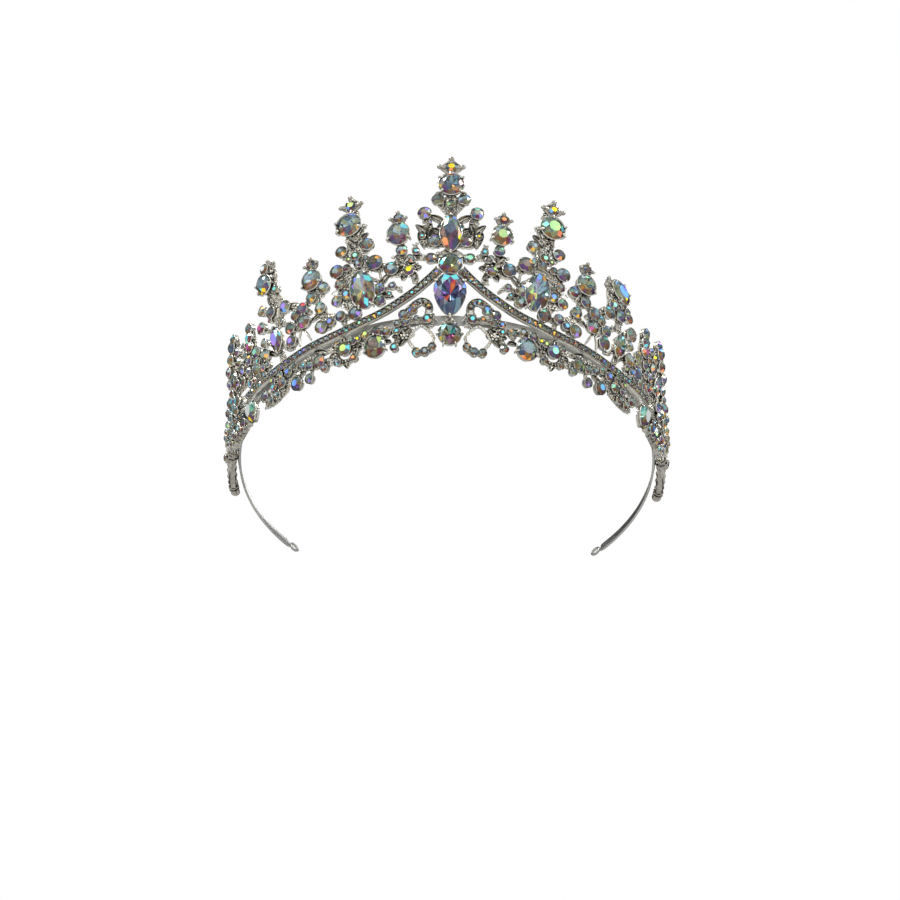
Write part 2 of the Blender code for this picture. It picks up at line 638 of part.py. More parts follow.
def end_cluster(label, side):
    """Pear and small stones that narrow the crown toward the end bar."""
    cast = Layout(side)
    cast.seat(pear(73.0, 3.7, 3.4, 4.3, 12))
    cast.wire(((74.8, 3.4), (80.0, 5.6), (86.0, 7.2), (93.0, 7.6), (101.2, 7.4)), 3.2)
    cast.cup(80.0, 11.8, 1.9)
    cast.cup(84.2, 11.6, 1.9)
    cast.cup(82.0, 8.0, 2.0)
    cast.wire(((78.6, 11.0), (82.0, 11.4), (86.6, 10.6)), 1.8)
    cast.wire(((82.0, 11.0), (82.0, 8.8), (82.0, 6.6)), 1.8)
    cast.seat(marquise(82.6, 3.4, 1.6, 3.6, 10.0))
    cast.cup(78.4, 4.0, 1.9)
    cast.cup(87.4, 9.8, 1.8)
    cast.cup(87.2, 5.6, 1.8)
    cast.cup(91.0, 8.4, 1.7)
    cast.cup(94.6, 8.6, 1.5)
    cast.cup(94.6, 5.8, 1.3)
    cast.leaf(89.6, 6.2, 5.0, 2.4, 130.0)
    cast.leaf(97.0, 7.2, 4.2, 2.4, 64.0)
    return casting("end_cluster_" + label, cast)


def end_bar(label, side):
    """Tapered fluted bar ending in a ball, with a small cup on its side."""
    around = 10
    steps = 8
    rings = []
    ball_u = END_BAR_END + BALL_RADIUS
    profile = [(0.0, 0.9), (0.02, 1.25)]
    profile += [(i / steps, 1.5 - 0.55 * i / steps) for i in range(1, steps + 1)]
    stations = [(END_BAR_START + GAP + share * (END_BAR_END - END_BAR_START - GAP), r) for share, r in profile]
    for a in (150.0, 120.0, 90.0, 60.0, 30.0):
        turn = math.radians(a)
        stations.append((ball_u - BALL_RADIUS * math.cos(turn), BALL_RADIUS * math.sin(turn)))
    stations = [s for i, s in enumerate(stations) if i == 0 or s[0] > stations[i - 1][0] + 0.05]
    for u, radius in stations:
        ring = []
        for k in range(around):
            b = 2.0 * math.pi * k / around
            flute = radius * (1.0 if k % 2 or u > END_BAR_END else 0.88)
            ring.append((side * u, band_height(u) + flute * math.cos(b), 0.4 + flute * math.sin(b)))
        rings.append(ring)
    cast = Layout(1)
    cast.solids.append(rings)
    cast.side = side
    cast.prism(oval(105.4, band_height(105.4) + 0.4, 1.7, 1.7, 0.0, 8), 3.0, 0.6)
    return casting("end_bar_" + label, cast)


# -------------------------------------------------------------------- stones
def centre_stones():
    """Crystals on the centre line."""
    stone("crown_tip_stone", oval(0.0, 67.0, 1.6, 1.6, 0.0, 6))
    stone("crown_round_stone", oval(0.0, 60.4, 3.3, 3.3, 0.0, 12), seat=BEZEL_HEIGHT)
    stone("centre_marquise_stone", marquise(0.0, 43.3, 2.5, 6.3))
    stone("centre_round_stone", oval(0.0, 31.9, 3.2, 3.2, 0.0, 12))
    stone("centre_pear_stone", pear(0.0, 20.6, 4.8, 7.6, 14), seat=BEZEL_HEIGHT)
    stone("pendant_stone", oval(0.0, 7.4, 3.2, 3.2, 0.0, 12))


def side_stones(label, side):
    """Crystals of one half of the crown, from the front to the end."""
    stone("spire_a_tip_stone_" + label, oval(14.2, 48.6, 1.3, 1.3, 0.0, 6), side)
    stone("spire_a_round_stone_" + label, oval(14.1, 42.8, 2.75, 2.75, 0.0, 10), side)
    stone("spire_b_tip_stone_" + label, oval(27.1, 56.6, 1.5, 1.5, 0.0, 6), side)
    stone("spire_b_round_stone_" + label, oval(28.0, 50.0, 3.3, 3.3, 0.0, 12), side, BEZEL_HEIGHT)
    stone("spire_b_oval_stone_" + label, oval(25.0, 25.6, 3.4, 6.6, 7.0, 12), side, BEZEL_HEIGHT)
    stone("spire_c_tip_stone_" + label, oval(39.9, 39.3, 1.3, 1.3, 0.0, 6), side)
    stone("spire_c_round_stone_" + label, oval(40.1, 33.8, 2.6, 2.6, 0.0, 10), side)
    stone("spire_d_tip_stone_" + label, oval(54.4, 46.2, 1.4, 1.7, 10.0, 6), side)
    stone("spire_d_oval_stone_" + label, oval(55.6, 40.6, 2.6, 3.6, 6.0, 10), side)
    stone("spire_d_marquise_stone_" + label, marquise(55.4, 19.8, 2.2, 4.7, 4.0), side)
    stone("side_marquise_stone_" + label, marquise(78.8, 18.4, 1.8, 3.9, 4.0), side)
    stone("fringe_round_stone_" + label, oval(22.3, 5.4, 3.0, 3.0, 0.0, 10), side)
    stone("end_pear_stone_" + label, pear(73.0, 3.7, 3.1, 4.0, 12), side)


# ------------------------------------------------------------------ assembly
def stand_on_origin():
    """Move every mesh so the object's box stands centred on the origin."""
    corners = [v.co for obj in bpy.data.objects for v in obj.data.vertices]
    low = Vector(tuple(min(c[k] for c in corners) for k in range(3)))
    high = Vector(tuple(max(c[k] for c in corners) for k in range(3)))
    shift = Vector((-(low.x + high.x) / 2.0, -(low.y + high.y) / 2.0, -low.z))
    for obj in bpy.data.objects:
        for vert in obj.data.vertices:
            vert.co += shift


def main():
    for obj in list(bpy.data.objects):
        bpy.data.objects.remove(obj, do_unlink=True)
    headband()
    centre_spire()
    centre_stones()
    for label, side in SIDES.items():
        end_loop(label, side)
        arch_channel(label, side)
        pave_row(label, side)
        spire_a(label, side)
        spire_b(label, side)
        spire_c(label, side)
        spire_d(label, side)
        spire_e(label, side)
        scroll(label, side)
        open_ring(label, side)
        fringe(label, side)
        end_cluster(label, side)
        end_bar(label, side)
        side_stones(label, side)
    stand_on_origin()


main()
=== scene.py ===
"""Bridal tiara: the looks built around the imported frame.

Every ornament is drawn flat, in millimetres, on the crown's unrolled face: u runs along
the base arc (0 at the front, + to the viewer's right), v up the face and w outward.
roll() wraps that face onto the crown's cone, in the row frame.
"""

import math
import random

import bpy
from mathutils import Matrix, Vector


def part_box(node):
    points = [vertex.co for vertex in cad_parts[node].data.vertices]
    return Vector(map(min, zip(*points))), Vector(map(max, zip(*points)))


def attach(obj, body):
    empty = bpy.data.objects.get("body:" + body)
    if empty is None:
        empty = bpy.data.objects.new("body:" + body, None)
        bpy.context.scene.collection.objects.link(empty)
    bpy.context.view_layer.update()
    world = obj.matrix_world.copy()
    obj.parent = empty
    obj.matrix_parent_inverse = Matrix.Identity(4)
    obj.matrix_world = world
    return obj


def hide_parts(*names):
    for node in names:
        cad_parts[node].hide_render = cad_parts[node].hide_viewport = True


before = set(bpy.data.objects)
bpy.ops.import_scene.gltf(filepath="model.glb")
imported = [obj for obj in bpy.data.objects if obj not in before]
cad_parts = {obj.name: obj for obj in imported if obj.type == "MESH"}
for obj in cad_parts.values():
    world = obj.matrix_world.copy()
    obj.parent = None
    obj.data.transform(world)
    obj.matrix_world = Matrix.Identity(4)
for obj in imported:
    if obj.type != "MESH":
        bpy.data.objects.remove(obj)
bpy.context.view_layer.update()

# ---------------------------------------------------------------- dimensions (mm)
MM = 0.001
CROWN_RADIUS = 72.0
FLARE = math.radians(14.0)
BAND_HEIGHT = 3.2
BAND_THICKNESS = 0.8
BAND_OFFSET = -2.0
BAND_FRONT = 14.0
BAND_FALL = 8.8
BAND_END = 157.0
BAND_STEPS = 49
CHIP_PITCH = 1.62
CHANNEL_PATH = ((4.3, 28.4), (6.9, 25.6), (11.4, 21.6), (19.3, 16.8), (27.8, 14.2), (34.4, 12.9),
                (44.3, 11.8), (52.2, 10.8), (59.8, 10.2), (68.2, 10.0), (76.0, 9.9))
END_BAR = (102.3, 121.0)
SIDES = (("right", 1), ("left", -1))
SENSOR = 36.0
LENS = 53.9296
CAMERA_SHIFT = (0.0019778, -0.0929889)
CAMERA_ANGLES = (-37.85, -0.42, 0.56)
CAMERA_DISTANCE = 0.45946
CAMERA_TARGET = Vector((0.0, -0.030, 0.030))
LIT_POINT = Vector((0.0, 0.0, 0.03))
LAMPS = (("key", (-0.62, -0.50, 0.75), 0.30, 4.4), ("fill", (0.78, -0.34, 0.62), 0.30, 3.4),
         ("rim", (0.25, 0.8, 0.7), 0.4, 1.4))
FLOOR_HALF = 0.9
FLOOR_LEVEL = -0.0002
TURN = 2.0 * math.pi
rng = random.Random(7)

# ---------------------------------------------------------------- colours of the crystals (linear)
# The white and pale tints stand for painted highlights on a table or facet.
TINTS = {
    "slate": (0.32, 0.50, 0.60), "olive": (0.46, 0.47, 0.24), "haze": (0.42, 0.31, 0.52),
    "sage": (0.31, 0.54, 0.43), "mist": (0.56, 0.76, 0.80), "umber": (0.34, 0.21, 0.09),
    "pale": (0.80, 0.90, 0.90), "deep": (0.10, 0.16, 0.28), "teal": (0.08, 0.44, 0.48),
    "cyan": (0.20, 0.76, 0.84), "blue": (0.20, 0.40, 0.92), "violet": (0.38, 0.29, 0.82),
    "mint": (0.36, 0.90, 0.66), "lime": (0.58, 0.82, 0.24), "yellow": (1.00, 0.86, 0.05),
    "gold": (0.84, 0.53, 0.11), "orange": (0.90, 0.40, 0.17), "red": (0.95, 0.14, 0.08),
    "magenta": (0.58, 0.14, 0.38), "brown": (0.46, 0.19, 0.06), "maroon": (0.24, 0.05, 0.09),
    "plum": (0.20, 0.09, 0.30), "white": (0.90, 0.95, 0.95), "apple": (0.42, 0.68, 0.30),
}
QUIET = ("slate", "slate", "olive", "haze", "sage")
UPPER = ("slate", "slate", "sage", "olive", "mist")
LOWER = ("deep", "umber", "plum", "olive", "umber", "maroon", "brown")
DULL = QUIET + UPPER + LOWER + ("brown", "teal")
SPARK = ("cyan", "cyan", "blue", "violet", "mint", "orange", "gold", "gold", "teal", "lime", "brown")


# ---------------------------------------------------------------- layout
def cone(u, v, w):
    """Wraps a point of the layout onto the crown's cone about its own axis."""
    angle = u / CROWN_RADIUS
    radius = CROWN_RADIUS + v * math.sin(FLARE) + w * math.cos(FLARE)
    height = v * math.cos(FLARE) - w * math.sin(FLARE)
    return Vector((radius * math.sin(angle), -radius * math.cos(angle), height)) * MM


def band_height(u):
    return BAND_FRONT - BAND_FALL * (1.0 - math.cos(u / CROWN_RADIUS))


def crown_place():
    """Where the crown's axis stands in the row frame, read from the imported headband."""
    low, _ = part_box("headband")
    corners = []
    for i in range(BAND_STEPS + 1):
        u = -BAND_END + 2.0 * BAND_END * i / BAND_STEPS
        for dv in (-0.5, 0.5):
            for dw in (-0.5, 0.5):
                v = band_height(u) + dv * BAND_HEIGHT
                corners.append(cone(u, v, BAND_OFFSET + dw * BAND_THICKNESS))
    return Vector((0.0, low.y - min(c.y for c in corners), low.z - min(c.z for c in corners)))


PLACE = crown_place()


def roll(point):
    return cone(*point) + PLACE


def spline(points, pieces):
    """Catmull-Rom curve through points of any dimension, as 3-D vectors."""
    points = [Vector(tuple(p) + (0.0,) * (3 - len(p))) for p in points]
    ends = [points[0] * 2.0 - points[1]] + points + [points[-1] * 2.0 - points[-2]]
    curve = []
    for i in range(len(points) - 1):
        p0, p1, p2, p3 = ends[i:i + 4]
        for step in range(pieces):
            t = step / pieces
            curve.append((p1 * 2.0 + (p2 - p0) * t + (p0 * 2.0 - p1 * 5.0 + p2 * 4.0 - p3) * t * t
                          + (p1 * 3.0 - p0 - p2 * 3.0 + p3) * t * t * t) * 0.5)
    curve.append(points[-1].copy())
    return curve


def evenly(path, pitch, closed=False):
    """Points along path about pitch apart, with the direction there."""
    if closed:
        path = list(path) + [path[0]]
    steps = [(b - a).length for a, b in zip(path, path[1:])]
    total = sum(steps)
    count = max(1, round(total / pitch))
    found = []
    for k in range(count if closed else count + 1):
        reach = total * k / count
        for (a, b), step in zip(zip(path, path[1:]), steps):
            if reach <= step + 1e-9:
                break
            reach -= step
        found.append((a.lerp(b, min(reach / max(step, 1e-9), 1.0)), (b - a).normalized()))
    return found


# How sharply the ends of an outline draw in.
POINTED = {"marquise": 0.45, "pointed_oval": 0.2}


def facets(marks):
    """Coloured facets from short text: "cyan 60 0.7, olive" is a cyan facet toward 60 degrees
    at 0.7 of the radius (0.8 if not said) and an olive table.
    """
    found = []
    for mark in filter(None, marks.split(", ")):
        colour, *rest = mark.split()
        angle, share = ([float(x) for x in rest] + [0.8])[:2] if rest else (90.0, 0.0)
        found.append((colour, angle, share))
    return found


class Outline:
    """Girdle outline of a stone: round, oval, pointed oval, marquise or pear."""

    def __init__(self, kind, u, v, wide, tall, lean=0.0):
        self.kind, self.u, self.v, self.wide, self.tall = kind, u, v, wide, tall
        self.turn = math.radians(-lean)

    def at(self, angle, scale=1.0, grow=0.0):
        wide, tall = self.wide * scale + grow, self.tall * scale + grow
        x, y = math.cos(angle), math.sin(angle)
        if self.kind in POINTED:
            x *= abs(x) ** POINTED[self.kind]
        elif self.kind == "pear":
            x *= 0.62 + 0.21 * (1.0 + y)
        x, y = x * wide, y * tall
        c, s = math.cos(self.turn), math.sin(self.turn)
        return self.u + x * c - y * s, self.v + x * s + y * c


class Build:
    """Closed shapes of one piece, drawn flat and moved by shift; side -1 mirrors them to the left."""

    def __init__(self, side=1, shift=(0.0, 0.0)):
        self.side = side
        self.shift = shift
        self.points = []
        self.faces = []
        self.smooth = []
        self.tints = []
        self.flash = []
        self.slots = []

    def add(self, points, faces, smooth=True, tints=None, flash=None, slots=None):
        start = len(self.points)
        du, dv = self.shift
        self.points += [(self.side * (p[0] + du), p[1] + dv, p[2]) for p in points]
        for i, face in enumerate(faces):
            face = [start + k for k in face]
            self.faces.append(face[::-1] if self.side < 0 else face)
            self.smooth.append(smooth)
            self.tints.append(tints[i] if tints else "metal")
            self.flash.append(flash[i] if flash else 0.0)
            self.slots.append(slots[i] if slots else 0)

    def skin(self, rings, closed=False, smooth=True):
        """Surface through rings of equal count, capped unless it closes on itself."""
        count = len(rings[0])
        points = [p for ring in rings for p in ring]
        faces = []
        for r in range(len(rings) if closed else len(rings) - 1):
            a, b = r * count, (r + 1) % len(rings) * count
            faces += [(a + i, a + (i + 1) % count, b + (i + 1) % count, b + i) for i in range(count)]
        if not closed:
            last = (len(rings) - 1) * count
            faces.append(tuple(reversed(range(count))))
            faces.append(tuple(range(last, last + count)))
        self.add(points, faces, smooth)

    def tube(self, path, radii, sides=8, flat=1.0, closed=False):
        """Round or flattened wire along path; its open ends are rounded."""
        path = [Vector(p) for p in path]
        radii = list(radii) if hasattr(radii, "__len__") else [radii] * len(path)
        count = len(path)
        frames = []
        for i, p in enumerate(path):
            ahead = path[(i + 1) % count] if closed else path[min(i + 1, count - 1)]
            behind = path[i - 1] if closed else path[max(i - 1, 0)]
            along = (ahead - behind).normalized()
            across = Vector((-along.y, along.x, 0.0))
            across = across.normalized() if across.length > 0.05 else Vector((1.0, 0.0, 0.0))
            frames.append((p, along, across, along.cross(across).normalized(), radii[i]))
        if not closed:
            p, along, across, up, r = frames[0]
            first = [(p - along * r * s, along, across, up, r * c) for s, c in ((0.95, 0.3), (0.65, 0.76))]
            p, along, across, up, r = frames[-1]
            last = [(p + along * r * s, along, across, up, r * c) for s, c in ((0.65, 0.76), (0.95, 0.3))]
            frames = first + frames + last
        rings = []
        for p, along, across, up, r in frames:
            rings.append([p + across * (r * math.cos(a)) + up * (r * flat * math.sin(a))
                          for a in (TURN * k / sides for k in range(sides))])
        self.skin(rings, closed)

    def tube_ring(self, ring, axis, radius, sides=8):
        """Round bead wire along a ring that turns about axis."""
        centre = sum(ring, Vector((0.0, 0.0, 0.0))) / len(ring)
        rings = []
        for p in ring:
            out = (p - centre).normalized()
            rings.append([p + out * (radius * math.cos(a)) + axis * (radius * math.sin(a))
                          for a in (TURN * k / sides for k in range(sides))])
        self.skin(rings, True)

    def lathe(self, outline, profile, sides=20):
        """Turned shape: profile holds (share of the outline, growth past it, w)."""
        rings = []
        for scale, grow, w in profile:
            rings.append([outline.at(TURN * k / sides, scale, grow) + (w,) for k in range(sides)])
        self.skin(rings)

    def ball(self, u, v, w, radius, sides=8, rings=5):
        dot = Outline("round", u, v, radius, radius)
        turns = [math.pi * (i + 0.5) / rings for i in range(rings)]
        self.lathe(dot, [(math.sin(a), 0.0, w - radius * math.cos(a)) for a in turns], sides)

    # ------------------------------------------------------------ cast details
    def vine(self, points, width, height, taper=0.72):
        """Half-round cast wire, thinner toward its ends."""
        path = spline(points, 7)
        count = len(path)
        centre = height * 0.5 + 0.1
        line = [Vector((p.x, p.y, centre)) for p in path]
        radii = [width * 0.5 * (taper + (1.0 - taper) * math.sin(math.pi * i / (count - 1)))
                 for i in range(count)]
        self.tube(line, radii, 9, height / width)

    def rope(self, path, radius, pitch, w):
        """Closed ring of two strands twisted round each other."""
        for strand in (0.0, math.pi):
            line = []
            spots = evenly(path, pitch / 7.0, True)
            turns = round(len(spots) / 7.0)
            for i, (p, along) in enumerate(spots):
                a = TURN * turns * i / len(spots) + strand
                across = Vector((-along.y, along.x, 0.0))
                line.append(Vector((p.x, p.y, w)) + across * (radius * 0.72 * math.cos(a))
                            + Vector((0.0, 0.0, radius * 0.72 * math.sin(a))))
            self.tube(line, radius, 7, 1.0, True)

    def leaf(self, u, v, length, width, lean, curl=0.0):
        """Pointed leaf with a raised rim, a dished blade and a vein."""
        turn = math.radians(lean)
        along = Vector((math.sin(turn), math.cos(turn), 0.0))
        across = Vector((-along.y, along.x, 0.0))
        blade = ((1.0, 0.0), (0.97, 0.34), (0.87, 0.52), (0.76, 0.12), (0.50, -0.30), (0.20, -0.28),
                 (0.07, 0.10))
        profile = blade + tuple((-t, h) for t, h in reversed(blade))
        steps, top = 13, 1.15
        rings = []
        for i in range(steps + 1):
            s = 0.02 + 0.96 * i / steps
            half = width * 0.5 * math.sin(math.pi * s ** 0.78) ** 0.72
            rise = min(1.0, half / (width * 0.3))
            middle = Vector((u, v, 0.0)) + along * (length * s) + across * (curl * math.sin(math.pi * s))
            ring = []
            for t, h in profile:
                ridge = 0.05 * math.sin(TURN * (s * 6.0 - abs(t) * 1.2)) if abs(t) < 0.8 else 0.0
                raised = Vector((0.0, 0.0, top + (h + ridge) * 1.15 * rise))
                ring.append(middle + across * (half * t) + raised)
            ring.append(middle - across * (half * 0.7) + Vector((0.0, 0.0, top - 0.75)))
            ring.append(middle + across * (half * 0.7) + Vector((0.0, 0.0, top - 0.75)))
            rings.append(ring)
        self.skin(rings)

    def knot(self, u, v, radius, w=1.1, petals=5, turn=18.0):
        """Small cast rosette of beads."""
        self.ball(u, v, w + 0.35, radius * 0.42)
        for i in range(petals):
            a = math.radians(turn + 360.0 * i / petals)
            x, y = u + radius * 0.62 * math.cos(a), v + radius * 0.62 * math.sin(a)
            self.ball(x, y, w, radius * 0.36, 7, 5)

    def claw(self, outline, angle, seat, size=0.34, reach=0.12, over=0.45):
        """Ball-ended prong folded over a stone's edge."""
        a = math.radians(angle)
        foot = outline.at(a, 1.0, 0.42)
        elbow = outline.at(a, 1.0, 0.40 + reach)
        tip = outline.at(a, 1.0, -over * 0.55 + reach)
        path = [Vector(foot + (0.5,)), Vector(elbow + (seat * 0.8,)), Vector(elbow + (seat + 0.25,)),
                Vector(tip + (seat + 0.55,))]
        self.tube(spline(path, 3), [size * 0.8] * 6 + [size * 0.72] * 4, 7)
        self.ball(tip[0], tip[1], seat + 0.55, size, 8, 6)

    def collet(self, outline, top, wall=0.34, sides=20):
        """Thin-walled cup with a rolled rim, open at the front."""
        self.lathe(outline, (
            (0.70, wall, 0.15), (0.84, wall, 0.22), (0.86, wall, 0.55), (0.80, wall, 0.80),
            (0.93, wall, top - 0.55), (1.0, wall, top - 0.14), (1.0, wall * 0.86, top + 0.03),
            (1.0, wall * 0.45, top + 0.10), (1.0, 0.02, top), (1.0, 0.0, top * 0.72), (0.90, 0.0, 0.55),
            (0.55, 0.0, 0.30)), sides)

    def star(self, u, v, radius, reach, points=4, turn=90.0, top=1.9, tip=0.6):
        """Claw setting of a spire's tip: a star with a ball on each point."""
        first, count = len(self.faces), points * 6
        levels = ((0.80, 0.5), (0.98, 0.75), (1.0, 1.15), (0.94, 1.5), (0.80, 1.68))
        rings = []
        for scale, w in levels:
            ring = []
            for i in range(count):
                a = math.radians(turn) + TURN * i / count
                wave = 0.5 + 0.5 * math.cos(points * (a - math.radians(turn)))
                r = (radius * 1.42 + (reach - radius * 1.42) * wave) * scale
                ring.append((u + r * math.cos(a), v + r * math.sin(a), w))
            rings.append(ring)
        self.skin(rings)
        for i in range(points):
            a = math.radians(turn) + TURN * i / points
            x, y = math.cos(a), math.sin(a)
            self.tube([Vector((u + x * reach * 0.50, v + y * reach * 0.50, 1.15)),
                       Vector((u + x * reach * 0.80, v + y * reach * 0.80, 1.5)),
                       Vector((u + x * reach, v + y * reach, 1.75))], [0.95, tip, tip * 0.9], 9)
            self.ball(u + x * reach, v + y * reach, 1.85, tip, 10, 8)
            b = a + math.pi / points
            self.ball(u + radius * 1.05 * math.cos(b), v + radius * 1.05 * math.sin(b), top, 0.28, 7, 5)
        self.collet(Outline("round", u, v, radius * 0.9, radius * 0.9), top, 0.22, 18)
        # The star's setting takes the darker copy of the cast silver: painted shade.
        self.slots[first:] = [1] * (len(self.faces) - first)

    def trough(self, path, half, floor=1.15, top=2.05, wall=0.36):
        """Channel of U section with rounded rims."""
        inner = half - wall
        foot = top - 1.5
        section = ((-half, foot + 0.15), (-half + 0.1, foot), (half - 0.1, foot), (half, foot + 0.15),
                   (half, top - 0.14), (half - 0.07, top), (half - wall * 0.5, top + 0.05),
                   (inner + 0.07, top), (inner, top - 0.14), (inner, floor), (-inner, floor),
                   (-inner, top - 0.14), (-inner - 0.07, top), (-half + wall * 0.5, top + 0.05),
                   (-half + 0.07, top), (-half, top - 0.14))
        rings = []
        for i, p in enumerate(path):
            along = (path[min(i + 1, len(path) - 1)] - path[max(i - 1, 0)]).normalized()
            across = Vector((along.y, -along.x, 0.0))
            rings.append([(p.x + across.x * x, p.y + across.y * x, w) for x, w in reversed(section)])
        self.skin(rings)

    def curl(self, u, v, radius, turn, sense=1.0, w=1.15, thick=0.21):
        """Small scroll of wire that winds inward."""
        line = []
        for i in range(13):
            a = math.radians(turn) + sense * math.radians(27.0) * i
            r = radius * (1.0 - 0.045 * i)
            line.append(Vector((u + r * math.cos(a), v + r * math.sin(a), w)))
        self.tube(line, thick, 6)

    def ground(self, points, width, height=1.0):
        """Cast openwork ground: a low uneven band crowded with grains and small scrolls."""
        path = evenly(spline(points, 8), 0.44)
        count = len(path)
        rings = []
        for i, (p, along) in enumerate(path):
            across = Vector((-along.y, along.x, 0.0))
            half = 0.5 * width * min(1.0, 0.6 + 0.2 * min(i, count - 1 - i)) * rng.uniform(0.84, 1.08)
            ring = []
            for k in range(9):
                t = 1.0 - 0.25 * k
                rise = height * (0.42 + 0.5 * math.sqrt(max(0.0, 1.0 - t * t)))
                rise += rng.uniform(-0.16, 0.16) * (1.0 - abs(t))
                ring.append(p + across * (half * t) + Vector((0.0, 0.0, rise)))
            ring.append(p - across * (half * 0.8) + Vector((0.0, 0.0, 0.14)))
            ring.append(p + across * (half * 0.8) + Vector((0.0, 0.0, 0.14)))
            rings.append(ring)
        self.skin(rings)
        lanes = max(1, round(width / 0.92))
        for i in range(0, count, 2):
            p, along = path[i]
            across = Vector((-along.y, along.x, 0.0))
            for lane in range(lanes):
                t = (2.0 * (lane + 0.5) / lanes - 1.0) * 0.92 + rng.uniform(-0.12, 0.12)
                q = p + across * (0.5 * width * t) + along * rng.uniform(-0.2, 0.2)
                top = height * (0.52 + 0.42 * math.sqrt(max(0.0, 1.0 - min(1.0, t * t))))
                if rng.random() < 0.16:
                    radius, turn = rng.uniform(0.5, 0.72), rng.uniform(0, 360)
                    self.curl(q.x, q.y, radius, turn, rng.choice((-1.0, 1.0)), top + 0.22)
                else:
                    self.ball(q.x, q.y, top + 0.06, 0.31 * rng.uniform(0.72, 1.3), 6, 4)

    def grounds(self, *rows, height=1.0):
        """Several grounds; a row is its width and then the points of its path."""
        for width, *points in rows:
            self.ground(points, width, height)

    # ------------------------------------------------------------ crystals
    def single(self, outline, sides, girdle, crown, depth, table=0.52, patch=0.7, marks=""):
        """Single-cut stone: table, one row of crown facets and a pointed, foiled pavilion."""
        step = TURN / sides
        turn = rng.uniform(0.0, step)
        points = []
        for scale, w in ((table, girdle + crown), (1.0, girdle), (1.0, girdle - 0.1)):
            points += [outline.at(turn + step * k, scale) + (w,) for k in range(sides)]
        points.append((outline.u, outline.v, girdle - 0.1 - depth))
        faces = [tuple(range(sides))]
        ring = [(k, (k + 1) % sides) for k in range(sides)]
        faces += [(k, sides + k, sides + n, n) for k, n in ring]
        faces += [(sides + k, 2 * sides + k, 2 * sides + n, sides + n) for k, n in ring]
        faces += [(2 * sides + k, 3 * sides, 2 * sides + n) for k, n in ring]
        angles = [0.0] + [turn + step * (k + 0.5) for _ in range(3) for k in range(sides)]
        heights = [0.0] + [math.sin(a) for a in angles[1:]]
        tints = [rng.choice(UPPER if y + rng.uniform(-0.3, 0.3) > -0.1 else LOWER) for y in heights]
        flash = [rng.uniform(0.42, 0.66) if y < -0.1 else rng.uniform(0.20, 0.42) for y in heights]
        flash[2 * sides + 1:] = [0.0] * sides
        flash[0] = rng.uniform(0.10, 0.35)
        wanted = facets(marks)
        if not wanted and rng.random() < patch:
            side = rng.uniform(50.0, 150.0)
            wanted = [(rng.choice(SPARK), side, rng.choice((0.0, 0.8, 0.8)))]
            if rng.random() < 0.4:
                wanted.append((rng.choice(SPARK), side + rng.uniform(120.0, 200.0), 0.8))
        for colour, angle, share in wanted:
            best = 0
            if share >= 0.35:
                aim = math.radians(angle if self.side > 0 else 180.0 - angle)
                best = min(range(1, sides + 1), key=lambda f: -math.cos(angles[f] - aim))
            # A vivid mark gets full flash, so it glows: a painted glint.
            tints[best], flash[best] = colour, 0.35 if colour in DULL else 1.0
        self.add(points, faces, False, tints, flash, [0] * (2 * sides + 1) + [1] * sides)

    def gem(self, outline, mains, girdle, crown, depth, table=0.56, quiet=QUIET, sparks=0.12, marks="",
            deep="", lower=LOWER):
        """Faceted, foil-backed crystal: table, stars, kites, girdle facets and pavilion.

        marks and deep place coloured facets on the crown and on the foil by the direction
        seen from the front (degrees, 0 to the right) and by the share of the radius.
        """
        step = math.pi / mains
        middle = 0.5 * (1.0 + table)
        drop = (middle * math.cos(step) - table) / (1.0 - table)
        levels = [outline.at(2 * step * i, table) + (girdle + crown,) for i in range(mains)]
        levels += [outline.at(2 * step * (i + 0.5), middle) + (girdle + crown * (1.0 - drop),)
                   for i in range(mains)]
        levels += [outline.at(step * i) + (girdle,) for i in range(2 * mains)]
        low = len(levels)
        levels += [outline.at(step * i) + (girdle - 0.10,) for i in range(2 * mains)]
        belly = len(levels)
        levels += [outline.at(2 * step * (i + 0.5), 0.46) + (girdle - 0.1 - depth * 0.62,)
                   for i in range(mains)]
        culet = len(levels)
        levels.append((outline.u, outline.v, girdle - 0.1 - depth))
        n = mains
        faces = [tuple(range(n))]
        for i in range(n):
            j = (i + 1) % n
            m, g = n + i, 2 * n + 2 * i
            faces.append((i, m, j))
            faces.append((n + (i - 1) % n, g, m, i))
            faces.append((m, g, g + 1))
            faces.append((m, g + 1, 2 * n + (2 * i + 2) % (2 * n)))
        crown_faces = len(faces)
        for k in range(2 * n):
            kk = (k + 1) % (2 * n)
            faces.append((2 * n + k, low + k, low + kk, 2 * n + kk))
        for i in range(n):
            b, g = belly + i, low + 2 * i
            faces.append((g, b, g + 1))
            faces.append((g + 1, b, low + (2 * i + 2) % (2 * n)))
            faces.append((g, belly + (i - 1) % n, culet, b))
        centres = []
        for face in faces:
            x = sum(levels[k][0] for k in face) / len(face) - outline.u
            y = sum(levels[k][1] for k in face) / len(face) - outline.v
            centres.append((self.side * x / outline.wide, y / outline.tall))
        tints = [rng.choice(quiet if y + rng.uniform(-0.25, 0.25) > -0.1 else lower) for _, y in centres]
        flash = [rng.uniform(0.40, 0.62) if y < -0.25 else rng.uniform(0.20, 0.40) for _, y in centres]
        flash[crown_faces:] = [0.0] * (len(faces) - crown_faces)
        flash[0] = 0.05
